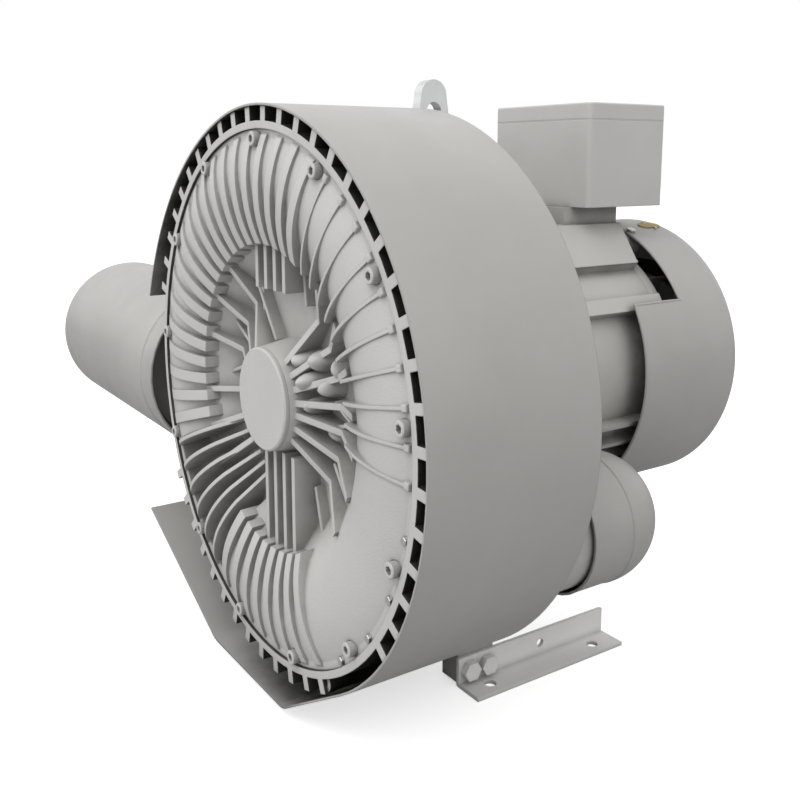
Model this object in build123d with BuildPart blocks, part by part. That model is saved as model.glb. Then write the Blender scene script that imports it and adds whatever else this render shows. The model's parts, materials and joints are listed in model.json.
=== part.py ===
from build123d import *
import math
import os

# Two-stage side channel blower, millimetres.
# The origin lies on the floor, midway between the four foot bolts. X runs across the machine,
# Y along the shaft from the finned front cover to the motor, and Z up.
# "Depth" is measured along Y from the front edge of the shroud, "radius" from the shaft line.

# Layout
shaft_height = 300.0
front_to_foot = 265.0

# Fits and gaps
seat_fit = 0.02
running_play = 0.05
seal_play = 0.1
joint_gap = 0.3
blade_gap = 0.5
air_gap = 0.7

# Blower stages
chamber_radius = 226.0
channel_radius = 24.0
impeller_width = 34.0
stage_wall = 4.0
casing_wall = 6.0
casing_radius = 250.0
cover_radius = 243.0
ring_front = 2.0
cover_front = 5.0
cover_crest = -1.0
cover_joint = 46.0

# Cooling fins of the casing
fin_count = 52
fin_width = 4.0
fin_height = 6.0
band_width = 11.0
band_height = 4.0
rib_width = 3.0
rib_height = 1.5
spoke_width = 6.0
tooth_width = 9.0
tooth_length = 12.0
fin_tip_gap = 0.25

# Shroud
shroud_radius = 265.0
shroud_depth = 167.0
shroud_sheet = 2.0

# Shaft and bearings
front_journal = 15.0
impeller_seat = 21.0
drive_journal = 25.0
rotor_seat = 27.0
rear_journal = 22.5
fan_seat = 16.0
key_width = 12.0
key_height = 8.0

# Motor
frame_radius = 128.0
frame_wall = 12.0
frame_start = 212.0
frame_end = 400.0
core_start = 236.0
core_end = 356.0
cowl_radius = 148.0
cowl_sheet = 2.0
cowl_end = 500.0

# Working planes
shaft_line = Axis((0, -front_to_foot, shaft_height), (0, 1, 0))
# x is the depth and y the radius, straight above the shaft
half_plane = Plane(origin=shaft_line.position, x_dir=(0, 1, 0), z_dir=(1, 0, 0))
# x points up, y to the right seen from the front and z to the back, so angles run clockwise
front_plane = Plane(origin=shaft_line.position, x_dir=(0, 0, 1), z_dir=(0, 1, 0))

# Depths that follow from the stages
front_stage = cover_joint + blade_gap
partition_start = front_stage + impeller_width + blade_gap
partition_end = partition_start + 2 * channel_radius + stage_wall
rear_stage = partition_end + blade_gap
rear_wall = rear_stage + impeller_width + blade_gap
casing_back = rear_wall + channel_radius + casing_wall
channel_line = chamber_radius - channel_radius
impeller_radius = chamber_radius - blade_gap

os.makedirs("parts", exist_ok=True)


def finish(piece, name):
    """Label a finished sub-part and write it."""
    piece.part.label = name
    export_step(piece.part, f"parts/{name}.step")


def station(depth):
    """Cross plane at a depth."""
    return front_plane.offset(depth)


def section(start, end, inner, outer, mode=Mode.ADD):
    """Rectangle of a turned section, from one depth and radius to another."""
    with Locations(((start + end) / 2, (inner + outer) / 2)):
        Rectangle(end - start, outer - inner, mode=mode)


def clock(radius, angle):
    """Point of a cross plane at a clockwise angle from the top."""
    turn = math.radians(angle)
    return (radius * math.cos(turn), radius * math.sin(turn))


def around(piece, angles):
    """Copies of a part turned about the shaft."""
    return [piece.part.rotate(shaft_line, angle) for angle in angles]


def ring_sector(start, end, inner, outer, first, last):
    """Piece of a turned ring between two clockwise angles."""
    with BuildPart(mode=Mode.PRIVATE) as piece:
        with BuildSketch(half_plane):
            section(start, end, inner, outer)
        revolve(axis=shaft_line, revolution_arc=last - first)
    return piece.part.rotate(shaft_line, first)


def between(angles, first, last):
    """The angles of a list that lie in a stretch."""
    return [angle for angle in angles if first < angle < last]


# Angles of the fins, and the two stretches that the inlet and the outlet side keep free
inlet_angle = 262.5
bare_angle = 140.0
inlet_clear = 21.0
bare_clear = 11.0
fin_pitch = 360.0 / fin_count
fin_angles = [fin_pitch * (index + 0.5) for index in range(fin_count)]


def clear_of_ports(angle):
    """Whether a fin at this angle stands beside both free stretches."""
    return abs(angle - inlet_angle) > inlet_clear and abs(angle - bare_angle) > bare_clear


edge_fin_angles = [angle for angle in fin_angles if clear_of_ports(angle)]
edge_fin_radius = shroud_radius - shroud_sheet - fin_tip_gap

# Front bearing and seal, seated in the hub of the cover
front_bearing_radius = 36.0
front_bearing_width = 19.0
hub_radius = 48.0
hub_cap_thickness = 5.0
cap_spigot = 2.0
hub_front = 6.0
front_bearing_start = 14.0
seal_radius = 30.0
seal_width = 8.0
web_front = cover_joint - casing_wall
bulge_inner = 150.0
bulge_outer = 236.0
bulge_middle = 195.0


def cover_fin(width, height, inner):
    """Fin along the front of the cover, straight above the shaft, from an inner radius outwards."""
    with BuildPart(mode=Mode.PRIVATE) as piece:
        with BuildSketch(half_plane):
            with BuildLine() as outline:
                ThreePointArc(
                    (cover_front + 1, bulge_inner - 8),
                    (cover_crest - height, bulge_middle),
                    (cover_front - 2, bulge_outer + 2),
                )
                Polyline(
                    (cover_front - 2, bulge_outer + 2),
                    (cover_front + 2, cover_radius - 1),
                    (cover_front + 8, cover_radius - 8),
                    (web_front + 2, bulge_inner + 4),
                    (web_front + 2, inner),
                    (web_front - 6, inner),
                    (cover_front + 1, bulge_inner - 8),
                )
            make_face(outline.edges())
        extrude(amount=width / 2, both=True)
    return piece


with BuildPart() as cover_spoke:
    with BuildSketch(half_plane):
        with BuildLine():
            Polyline(
                (hub_front + 4, hub_radius - 2),
                (web_front - 12, 100),
                (cover_front + 4, bulge_inner),
                (web_front + 2, bulge_inner),
                (web_front + 2, hub_radius - 2),
                close=True,
            )
        make_face()
    extrude(amount=spoke_width / 2, both=True)

bolt_count = 13
bolt_radius = 234.5
bolt_thread = 4.0
bolt_hole = 4.5
bolt_head = 6.5
bolt_head_height = 8.0
bolt_angles = [4 * fin_pitch * index for index in range(bolt_count)]

# The cover has thin ribs at the upper right, none at the right, deep fins over a recess at the
# lower left, where the channel is closed, and broad bands elsewhere
ribs_first = 28.0
smooth_first = 98.0
smooth_last = 152.0
recess_first = 205.0
recess_last = 247.0
closure_first = 202.0
closure_last = 250.0
recess_floor = web_front - 4
recess_inner = bulge_inner - 32
recess_outer = 232.0
spoke_angles = (38, 55, 70, 84, 97, 112, 128, 232, 247, 262, 286, 304, 322)
upright_ribs = (
    (100.0, bulge_inner, (-27.0, -9.0, 9.0, 27.0)),
    (-bulge_inner, -hub_radius, (-16.0, 2.0, 20.0, 38.0)),
)

with BuildPart() as front_cover:
    with BuildSketch(half_plane):
        with BuildLine():
            Polyline(
                (cover_front, bulge_outer),
                (cover_front, cover_radius),
                (cover_joint, cover_radius),
                (cover_joint, chamber_radius),
            )
            ThreePointArc(
                (cover_joint, chamber_radius),
                (cover_joint - channel_radius, channel_line),
                (cover_joint, channel_line - channel_radius),
            )
            Polyline(
                (cover_joint, channel_line - channel_radius),
                (cover_joint, seal_radius),
                (cover_joint - seal_width, seal_radius),
                (cover_joint - seal_width, front_bearing_radius - 8),
                (front_bearing_start + front_bearing_width, front_bearing_radius - 8),
                (front_bearing_start + front_bearing_width, front_bearing_radius),
                (hub_front, front_bearing_radius),
                (hub_front, hub_radius),
                (web_front, hub_radius + 6),
                (web_front, bulge_inner - 32),
                (cover_front + 8, bulge_inner),
            )
            ThreePointArc(
                (cover_front + 8, bulge_inner),
                (cover_crest, bulge_middle),
                (cover_front, bulge_outer),
            )
        make_face()
    revolve(axis=shaft_line)
    add(ring_sector(
        cover_joint - channel_radius + 2,
        cover_joint,
        channel_line - channel_radius - 2,
        chamber_radius + 2,
        closure_first,
        closure_last,
    ))
    add(
        ring_sector(
            cover_crest - fin_height,
            recess_floor,
            recess_inner,
            recess_outer,
            recess_first,
            recess_last,
        ),
        mode=Mode.SUBTRACT,
    )
    bands = between(fin_angles, 0, ribs_first) + between(fin_angles, smooth_last, recess_first)
    bands += between(fin_angles, recess_last, 360)
    add(around(cover_fin(band_width, band_height, bulge_inner - 10), bands))
    ribs = between(fin_angles, ribs_first, smooth_first)
    add(around(cover_fin(rib_width, rib_height, bulge_inner - 10), ribs))
    add(around(cover_fin(fin_width, fin_height, 104), between(fin_angles, recess_first, recess_last)))
    add(around(cover_spoke, spoke_angles))
    for low, high, rights in upright_ribs:
        with BuildSketch(station(cover_front + 8)):
            with Locations([((low + high) / 2, right) for right in rights]):
                Rectangle(high - low, spoke_width)
        extrude(amount=web_front - cover_front - 7)
    with BuildSketch(station(cover_front - fin_height)):
        with Locations([clock(bolt_radius, angle) for angle in bolt_angles]):
            Circle(bolt_hole)
    extrude(amount=cover_joint - cover_front + fin_height, mode=Mode.SUBTRACT)
    with BuildSketch(station(cover_front)):
        with Locations([clock(bolt_radius, angle) for angle in bolt_angles]):
            Circle(bolt_head + joint_gap)
    extrude(amount=-bolt_head_height - fin_height, mode=Mode.SUBTRACT)
finish(front_cover, "front_cover")

with BuildPart() as hub_cap:
    with BuildSketch(half_plane):
        section(hub_front - hub_cap_thickness, hub_front, 0, hub_radius)
        section(hub_front, hub_front + cap_spigot, 0, front_bearing_radius - seat_fit)
    revolve(axis=shaft_line)
    cap_rim = hub_cap.edges().filter_by(GeomType.CIRCLE).sort_by(Axis.Y)[0]
    chamfer(cap_rim, 1.5)
finish(hub_cap, "hub_cap")

# Bosses that carry the shroud: two on the upper left, two underneath
upper_boss_angle = -40.0
flare_radius = 330.0
flare_start = -15.0
flare_end = -67.7
boss_radius = 9.0
boss_hole = 20.0
boss_depths = (62.0, 116.0)
shroud_screw_radius = 3.0
shroud_floor = 292.0
lower_boss_right = -30.0


def flare_point(radius, angle):
    """Point at a radius and angle from the centre of the shroud's flared left end."""
    up, right = clock(radius, angle)
    centre_up, centre_right = clock(shroud_radius - flare_radius, flare_start)
    return (up + centre_up, right + centre_right)


def outward_plane(up, right, depth, angle):
    """Plane whose z points outwards at a clockwise angle and whose y runs along the shaft."""
    across_up, across_right = clock(1, angle)
    return Plane(
        origin=(right, depth - front_to_foot, shaft_height + up),
        x_dir=(across_up, 0, -across_right),
        z_dir=(across_right, 0, across_up),
    )


boss_root = 234.0
boss_gap = 0.15
upper_boss_length = 38.0
upper_boss_up, upper_boss_right = flare_point(
    flare_radius - shroud_sheet - boss_gap - upper_boss_length, upper_boss_angle
)
lower_boss_length = shroud_floor - shroud_sheet - boss_gap - boss_root
boss_planes = (
    (
        outward_plane(upper_boss_up, upper_boss_right, boss_depths[0], upper_boss_angle),
        upper_boss_length,
    ),
    (outward_plane(-boss_root, lower_boss_right, boss_depths[0], 180), lower_boss_length),
)
boss_spots = [(0, depth - boss_depths[0]) for depth in boss_depths]
lug_spot_radius = casing_radius + 3
lug_spot_angle = 155.0

# Ports and their flanges
port_bore = 35.0
port_flange_radius = 72.0
port_flange_thickness = 12.0
port_bolt_circle = 59.0
port_thread = 5.0
inlet_depth = 90.0
inlet_drop = 35.0
inlet_face = 268.0
inlet_root = 232.0
duct_width = 56.0
duct_height = 20.0
duct_length = 30.0
outlet_reach = 203.0
outlet_angle = 123.0
outlet_flange_radius = 56.0
outlet_bolt_circle = 46.0
outlet_bore = 30.0
outlet_face = 212.0
inlet_plane = Plane(
    origin=(-inlet_root, inlet_depth - front_to_foot, shaft_height - inlet_drop),
    x_dir=(0, 0, 1),
    z_dir=(-1, 0, 0),
)
inlet_mouth = inlet_plane.offset(inlet_face - inlet_root)
outlet_up, outlet_right = clock(outlet_reach, outlet_angle)
outlet_mouth = Plane(
    origin=(outlet_right, outlet_face - front_to_foot, shaft_height + outlet_up),
    x_dir=(0, 0, 1),
    z_dir=(0, 1, 0),
)

with BuildPart() as middle_fin:
    with BuildSketch(half_plane):
        section(ring_front, partition_end - 2, casing_radius - 1, edge_fin_radius)
    extrude(amount=fin_width / 2, both=True)
    with BuildSketch(half_plane):
        section(ring_front, ring_front + tooth_length, casing_radius - 1, edge_fin_radius)
    extrude(amount=tooth_width / 2, both=True)

with BuildPart() as middle_housing:
    with BuildSketch(half_plane):
        with BuildLine():
            Polyline(
                (ring_front, cover_radius + joint_gap),
                (ring_front, casing_radius),
                (partition_end, casing_radius),
                (partition_end, chamber_radius),
            )
            ThreePointArc(
                (partition_end, chamber_radius),
                (partition_end - channel_radius, channel_line),
                (partition_end, channel_line - channel_radius),
            )
            Polyline(
                (partition_end, channel_line - channel_radius),
                (partition_end, seal_radius),
                (partition_start, seal_radius),
                (partition_start, channel_line - channel_radius),
            )
            ThreePointArc(
                (partition_start, channel_line - channel_radius),
                (partition_start + channel_radius, channel_line),
                (partition_start, chamber_radius),
            )
            Polyline(
                (partition_start, chamber_radius),
                (cover_joint, chamber_radius),
                (cover_joint, cover_radius + joint_gap),
                (ring_front, cover_radius + joint_gap),
            )
        make_face()
    revolve(axis=shaft_line)
    add(ring_sector(
        partition_start,
        partition_start + channel_radius - 2,
        channel_line - channel_radius - 2,
        chamber_radius + 2,
        closure_first,
        closure_last,
    ))
    add(around(middle_fin, edge_fin_angles))
    with BuildSketch(inlet_plane):
        Circle(port_bore + casing_wall)
    extrude(amount=inlet_face - inlet_root)
    with BuildSketch(inlet_mouth):
        Circle(port_flange_radius)
    extrude(amount=-port_flange_thickness)
    with BuildSketch(inlet_mouth):
        Circle(port_bore)
    extrude(amount=-(inlet_face - inlet_root), mode=Mode.SUBTRACT)
    with BuildSketch(inlet_plane):
        with Locations((0, duct_height / 2 + partition_start - inlet_depth)):
            Rectangle(duct_width, duct_height)
    extrude(amount=-duct_length, mode=Mode.SUBTRACT)
    with BuildSketch(inlet_mouth):
        with PolarLocations(port_bolt_circle, 4, start_angle=45):
            Circle(port_thread + seat_fit)
    extrude(amount=-port_flange_thickness, mode=Mode.SUBTRACT)
    with BuildSketch(station(cover_front)):
        with Locations(clock(lug_spot_radius, lug_spot_angle)):
            Circle(boss_radius)
            Circle(bolt_thread, mode=Mode.SUBTRACT)
    extrude(amount=2 * boss_radius)
    for plane, length in boss_planes:
        with BuildSketch(plane):
            with Locations(boss_spots):
                Circle(boss_radius)
        extrude(amount=length)
        with BuildSketch(plane.offset(length)):
            with Locations(boss_spots):
                Circle(shroud_screw_radius + seat_fit)
        extrude(amount=-boss_hole, mode=Mode.SUBTRACT)
    with BuildSketch(station(cover_joint)):
        with Locations([clock(bolt_radius, angle) for angle in bolt_angles]):
            Circle(bolt_hole)
    extrude(amount=partition_end - cover_joint, mode=Mode.SUBTRACT)
finish(middle_housing, "middle_housing")

# Rear housing, with the legs, the lifting boss and the outlet port
web_back = rear_wall + 16
rear_bulge_start = 150.0
rear_fin_count = 26
spigot_inner = 100.0
spigot_outer = 108.0
spigot_height = 5.0
leg_inner = 54.0
leg_outer = 80.0
leg_start = 170.0
leg_end = 214.0
leg_clearance = 2.0
foot_bolt_radius = 6.0
foot_bolt_depths = (181.0, 203.0)
foot_bolt_up = 284.0
shield_bolt_count = 4
shield_bolt_circle = 125.0
shield_bolt_radius = 5.0
shield_bolt_head = 8.0
shield_head_height = 8.0
shield_bolt_depth = 12.0
eye_depth = 190.0
eye_seat = 246.0
eye_boss_radius = 19.0
eye_thread = 8.0
eye_thread_length = 24.0
eye_boss_root = 215.0
leg_top = 218.0
leg_length = shaft_height - leg_clearance - leg_top

with BuildPart() as rear_fin:
    with BuildSketch(half_plane):
        with BuildLine():
            Polyline(
                (rear_wall + 8, casing_radius - 4),
                (casing_back + 2, casing_radius - 26),
                (casing_back + 5, channel_line),
                (casing_back + 5, rear_bulge_start + 16),
                (web_back + 4, rear_bulge_start - 4),
                (rear_wall + 8, rear_bulge_start - 4),
                close=True,
            )
        make_face()
    extrude(amount=fin_width / 2, both=True)

with BuildPart() as rear_edge_fin:
    with BuildSketch(half_plane):
        section(partition_end + 2, rear_wall - 2, casing_radius - 1, edge_fin_radius)
    extrude(amount=fin_width / 2, both=True)

rear_fin_angles = [
    angle for angle in fin_angles[::2] if abs(angle - outlet_angle) > 18 and 12 < angle < 348
]

with BuildPart() as rear_housing:
    with BuildSketch(half_plane):
        with BuildLine():
            Polyline(
                (web_back, rear_bulge_start),
                (web_back, seal_radius),
                (rear_wall, seal_radius),
                (rear_wall, channel_line - channel_radius),
            )
            ThreePointArc(
                (rear_wall, channel_line - channel_radius),
                (rear_wall + channel_radius, channel_line),
                (rear_wall, chamber_radius),
            )
            Polyline(
                (rear_wall, chamber_radius),
                (partition_end, chamber_radius),
                (partition_end, casing_radius),
                (rear_wall, casing_radius),
            )
            ThreePointArc(
                (rear_wall, casing_radius),
                (casing_back - 8, casing_radius - 13),
                (casing_back, channel_line + 10),
            )
            Polyline(
                (casing_back, channel_line + 10),
                (casing_back, rear_bulge_start + 12),
                (web_back, rear_bulge_start),
            )
        make_face()
        section(web_back - 1, web_back + spigot_height, spigot_inner, spigot_outer)
    revolve(axis=shaft_line)
    add(around(rear_edge_fin, edge_fin_angles))
    add(around(rear_fin, rear_fin_angles))
    with BuildSketch(station(leg_start)):
        with Locations(
            (-leg_top - leg_length / 2, -(leg_inner + leg_outer) / 2),
            (-leg_top - leg_length / 2, (leg_inner + leg_outer) / 2),
        ):
            Rectangle(leg_length, leg_outer - leg_inner - 2 * seat_fit)
    extrude(amount=leg_end - leg_start)
    with BuildSketch(Plane.XY.offset(shaft_height + eye_boss_root)):
        with Locations((0, eye_depth - front_to_foot)):
            Circle(eye_boss_radius)
    extrude(amount=eye_seat - eye_boss_root)
    with BuildSketch(Plane.XY.offset(shaft_height + eye_seat)):
        with Locations((0, eye_depth - front_to_foot)):
            Circle(eye_boss_radius + joint_gap)
    extrude(amount=2 * fin_height, mode=Mode.SUBTRACT)
    with BuildSketch(Plane.XY.offset(shaft_height + eye_seat)):
        with Locations((0, eye_depth - front_to_foot)):
            Circle(eye_thread + seat_fit)
    extrude(amount=-eye_thread_length - joint_gap, mode=Mode.SUBTRACT)
    with BuildSketch(outlet_mouth):
        Circle(outlet_flange_radius)
    extrude(amount=-(outlet_face - rear_wall - 4))
    with BuildSketch(station(rear_wall - 40)):
        Circle(chamber_radius)
    extrude(amount=40, mode=Mode.SUBTRACT)
    with BuildSketch(outlet_mouth):
        Circle(outlet_bore)
    extrude(amount=-(outlet_face - rear_wall), mode=Mode.SUBTRACT)
    with BuildSketch(outlet_mouth):
        with PolarLocations(outlet_bolt_circle, 4, start_angle=45):
            Circle(port_thread + seat_fit)
    extrude(amount=-2 * port_flange_thickness, mode=Mode.SUBTRACT)
    with BuildSketch(station(partition_end)):
        with Locations([clock(bolt_radius, angle) for angle in bolt_angles]):
            Circle(bolt_thread + seat_fit)
    extrude(amount=rear_wall - partition_end - 6, mode=Mode.SUBTRACT)
    with BuildSketch(station(web_back)):
        with PolarLocations(shield_bolt_circle, shield_bolt_count, start_angle=45):
            Circle(shield_bolt_radius + seat_fit)
    extrude(amount=-shield_bolt_depth, mode=Mode.SUBTRACT)
    for side in (-1, 1):
        leg_face = Plane(
            origin=(side * leg_outer, -front_to_foot, shaft_height), x_dir=(0, 1, 0), z_dir=(side, 0, 0)
        )
        with BuildSketch(leg_face):
            with Locations([(depth, -side * foot_bolt_up) for depth in foot_bolt_depths]):
                Circle(foot_bolt_radius + seat_fit)
        extrude(amount=-20, mode=Mode.SUBTRACT)
finish(rear_housing, "rear_housing")

# Impellers
impeller_hub = 44.0
impeller_disc = 10.0
blade_count = 36
blade_width = 3.0
blade_root = channel_line - channel_radius
rim_inner = blade_root - 8
pocket_floor = 2.0
key_bottom = impeller_seat - 5
key_top = key_bottom + key_height

with BuildPart() as blade:
    with BuildSketch(half_plane):
        section(front_stage, front_stage + impeller_width, rim_inner + 2, impeller_radius)
    extrude(amount=blade_width / 2, both=True)

impeller_middle = front_stage + impeller_width / 2
with BuildPart() as front_impeller:
    with BuildSketch(half_plane):
        section(front_stage, front_stage + impeller_width, impeller_seat, impeller_hub)
        section(
            impeller_middle - impeller_disc / 2,
            impeller_middle + impeller_disc / 2,
            impeller_hub - 1,
            rim_inner + 1,
        )
        with BuildLine():
            Polyline((front_stage, blade_root), (front_stage, rim_inner))
            Line((front_stage, rim_inner), (front_stage + impeller_width, rim_inner))
            Line(
                (front_stage + impeller_width, rim_inner), (front_stage + impeller_width, blade_root)
            )
            ThreePointArc(
                (front_stage + impeller_width, blade_root),
                (impeller_middle + pocket_floor + 6, blade_root + 12),
                (impeller_middle + pocket_floor, channel_line + 6),
            )
            Polyline(
                (impeller_middle + pocket_floor, channel_line + 6),
                (impeller_middle + pocket_floor, impeller_radius),
                (impeller_middle - pocket_floor, impeller_radius),
                (impeller_middle - pocket_floor, channel_line + 6),
            )
            ThreePointArc(
                (impeller_middle - pocket_floor, channel_line + 6),
                (impeller_middle - pocket_floor - 6, blade_root + 12),
                (front_stage, blade_root),
            )
        make_face()
    revolve(axis=shaft_line)
    add(around(blade, [360 / blade_count * index for index in range(blade_count)]))
    with BuildSketch(station(front_stage)):
        with Locations(((key_bottom + key_top) / 2, 0)):
            Rectangle(key_height, key_width)
    extrude(amount=impeller_width, mode=Mode.SUBTRACT)
finish(front_impeller, "front_impeller")

with BuildPart() as rear_impeller:
    add(front_impeller.part.moved(Location((0, rear_stage - front_stage, 0))))
finish(rear_impeller, "rear_impeller")

# Sleeves, nut, key and seals on the shaft
spacer_radius = 26.0
sleeve_radius = 22.0
nut_thickness = 5.0
nut_radius = 24.0
bearing_back = front_bearing_start + front_bearing_width
key_start = front_stage + 4
key_end = rear_stage + impeller_width - 4
shoulder_radius = 24.0

with BuildPart() as impeller_spacer:
    with BuildSketch(half_plane):
        section(front_stage + impeller_width, rear_stage, impeller_seat, spacer_radius)
    revolve(axis=shaft_line)
    with BuildSketch(station(front_stage + impeller_width)):
        with Locations(((key_bottom + key_top) / 2, 0)):
            Rectangle(key_height, key_width)
    extrude(amount=rear_stage - front_stage - impeller_width, mode=Mode.SUBTRACT)
finish(impeller_spacer, "impeller_spacer")

with BuildPart() as front_sleeve:
    with BuildSketch(half_plane):
        section(bearing_back, front_stage, front_journal + seat_fit, sleeve_radius)
    revolve(axis=shaft_line)
finish(front_sleeve, "front_sleeve")

with BuildPart() as impeller_key:
    with BuildSketch(station(key_start)):
        with Locations(((key_bottom + key_top) / 2, 0)):
            Rectangle(key_height, key_width)
    extrude(amount=key_end - key_start)
finish(impeller_key, "impeller_key")

with BuildPart() as shaft_nut:
    with BuildSketch(half_plane):
        section(
            front_bearing_start - nut_thickness,
            front_bearing_start,
            front_journal + seat_fit,
            nut_radius,
        )
    revolve(axis=shaft_line)
    with BuildSketch(station(front_bearing_start - nut_thickness)):
        with PolarLocations(nut_radius, 4):
            Rectangle(4, 5)
    extrude(amount=nut_thickness, mode=Mode.SUBTRACT)
finish(shaft_nut, "shaft_nut")

partition_middle = (partition_start + partition_end) / 2
seal_places = (
    (cover_joint - seal_width, seal_width, sleeve_radius),
    (partition_middle - seal_width, 2 * seal_width, spacer_radius),
    (rear_wall + 2, seal_width, shoulder_radius),
)
with BuildPart() as shaft_seals:
    with BuildSketch(half_plane):
        for seal_start, width, inner in seal_places:
            section(seal_start, seal_start + width, inner + seal_play, seal_radius - seat_fit)
    revolve(axis=shaft_line)
finish(shaft_seals, "shaft_seals")

# Bearings: name, seat on the shaft, outside, start, width
drive_bearing_radius = 55.0
drive_bearing_start = 192.0
drive_bearing_width = 27.0
rear_bearing_radius = 42.5
rear_bearing_start = 396.0
rear_bearing_width = 19.0
ball_share = 0.3
ball_count = 8
bearings = (
    ("front", front_journal, front_bearing_radius, front_bearing_start, front_bearing_width),
    ("drive", drive_journal, drive_bearing_radius, drive_bearing_start, drive_bearing_width),
    ("rear", rear_journal, rear_bearing_radius, rear_bearing_start, rear_bearing_width),
)
for place, bore, outside, start, width in bearings:
    ball = ball_share * (outside - bore)
    pitch = (outside + bore) / 2
    middle = start + width / 2
    with BuildPart() as inner_race:
        with BuildSketch(half_plane):
            section(start, start + width, bore + seat_fit, pitch - 0.6 * ball)
            with Locations((middle, pitch)):
                Circle(ball + running_play, mode=Mode.SUBTRACT)
        revolve(axis=shaft_line)
    finish(inner_race, f"{place}_bearing_inner")
    with BuildPart() as outer_race:
        with BuildSketch(half_plane):
            section(start, start + width, pitch + 0.6 * ball, outside - seat_fit)
            with Locations((middle, pitch)):
                Circle(ball + running_play, mode=Mode.SUBTRACT)
        revolve(axis=shaft_line)
    finish(outer_race, f"{place}_bearing_outer")
    with BuildPart() as ball_cage:
        with BuildSketch(half_plane):
            section(middle - 0.5 * ball, middle + 0.5 * ball, pitch - 0.15 * ball, pitch + 0.15 * ball)
        revolve(axis=shaft_line)
        with BuildPart(station(middle), mode=Mode.PRIVATE) as balls:
            with PolarLocations(pitch, ball_count):
                Sphere(ball)
        add(balls.part)
    finish(ball_cage, f"{place}_bearing_balls")

# Motor shaft
nut_end = front_bearing_start - nut_thickness
rear_bearing_end = rear_bearing_start + rear_bearing_width
drive_bearing_end = drive_bearing_start + drive_bearing_width
fan_start = 420.0
fan_end = 446.0
shaft_end = 458.0
collar_radius = 31.0

with BuildPart() as motor_shaft:
    with BuildSketch(half_plane):
        section(nut_end, front_stage, 0, front_journal)
        section(front_stage, rear_stage + impeller_width, 0, impeller_seat)
        section(rear_stage + impeller_width, drive_bearing_start, 0, shoulder_radius)
        section(drive_bearing_start, drive_bearing_end, 0, drive_journal)
        section(drive_bearing_end, drive_bearing_end + 7, 0, collar_radius)
        section(drive_bearing_end + 7, core_end + 4, 0, rotor_seat)
        section(core_end + 4, rear_bearing_start, 0, shoulder_radius)
        section(rear_bearing_start, rear_bearing_end, 0, rear_journal)
        section(rear_bearing_end, shaft_end, 0, fan_seat)
    revolve(axis=shaft_line)
    with BuildSketch(station(key_start)):
        with Locations(((key_bottom + key_top) / 2, 0)):
            Rectangle(key_height, key_width)
    extrude(amount=key_end - key_start, mode=Mode.SUBTRACT)
finish(motor_shaft, "motor_shaft")

# Electrical parts of the motor
rotor_radius = 74.3
frame_bore = frame_radius - frame_wall
coil_inner = rotor_radius + air_gap + 4
coil_outer = frame_bore - 8
coil_reach = 20.0

with BuildPart() as rotor_core:
    with BuildSketch(half_plane):
        section(core_start, core_end, rotor_seat + seat_fit, rotor_radius)
        section(core_start - 6, core_start, rotor_seat + 18, rotor_radius - 1)
        section(core_end, core_end + 6, rotor_seat + 18, rotor_radius - 1)
    revolve(axis=shaft_line)
finish(rotor_core, "rotor_core")

with BuildPart() as stator_core:
    with BuildSketch(half_plane):
        section(core_start, core_end, rotor_radius + air_gap, frame_bore - seat_fit)
    revolve(axis=shaft_line)
finish(stator_core, "stator_core")

with BuildPart() as stator_windings:
    with BuildSketch(half_plane):
        section(core_start - coil_reach, core_start, coil_inner, coil_outer)
        section(core_end, core_end + coil_reach, coil_inner, coil_outer)
    revolve(axis=shaft_line)
    coil_edges = stator_windings.edges().filter_by(GeomType.CIRCLE).group_by(Axis.Y)
    fillet(coil_edges[0] + coil_edges[-1], 6)
finish(stator_windings, "stator_windings")

# End shields
shield_radius = 138.0
shield_start = web_back
shield_boss = drive_bearing_radius + 9
rear_shield_end = frame_end + 12
rear_boss = rear_bearing_radius + 8
lug_radius = 12.0
lug_angles = (20.0, 160.0, 200.0, 340.0)
lug_end = 430.0
cowl_screw_depth = 423.0
cowl_screw_radius = 2.5
cowl_screw_hole = 10.0
cowl_inner = cowl_radius - cowl_sheet
cowl_screw_planes = [
    outward_plane(*clock(cowl_radius, angle), cowl_screw_depth, angle) for angle in lug_angles
]

with BuildPart() as front_shield:
    with BuildSketch(half_plane):
        section(shield_start, frame_start, spigot_outer + seat_fit, shield_radius)
        section(shield_start + spigot_height, frame_start, shoulder_radius + 4, shield_radius)
        section(shield_start, frame_start, shoulder_radius + 4, spigot_inner - seat_fit)
        section(frame_start - 1, drive_bearing_end + 2, drive_bearing_radius, shield_boss)
        section(
            drive_bearing_start,
            frame_start + 1,
            shoulder_radius,
            drive_bearing_radius,
            mode=Mode.SUBTRACT,
        )
        section(frame_start - 1, frame_start + 6, frame_bore - 6, frame_bore - seat_fit)
    revolve(axis=shaft_line)
    with BuildSketch(station(shield_start)):
        with PolarLocations(shield_bolt_circle, shield_bolt_count, start_angle=45):
            Circle(shield_bolt_radius + joint_gap)
    extrude(amount=frame_start - shield_start, mode=Mode.SUBTRACT)
    with BuildSketch(station(frame_start)):
        with PolarLocations(shield_bolt_circle, shield_bolt_count, start_angle=45):
            Circle(shield_bolt_head + joint_gap)
    extrude(amount=-shield_head_height - joint_gap, mode=Mode.SUBTRACT)
finish(front_shield, "front_shield")

with BuildPart() as shield_bolts:
    with BuildSketch(station(frame_start - joint_gap)):
        with PolarLocations(shield_bolt_circle, shield_bolt_count, start_angle=45):
            Circle(shield_bolt_head)
    extrude(amount=-shield_head_height)
    with BuildSketch(station(frame_start - joint_gap - shield_head_height)):
        with PolarLocations(shield_bolt_circle, shield_bolt_count, start_angle=45):
            Circle(shield_bolt_radius)
    extrude(amount=-(frame_start - shield_head_height - web_back + shield_bolt_depth - 1))
finish(shield_bolts, "shield_bolts")

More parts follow.
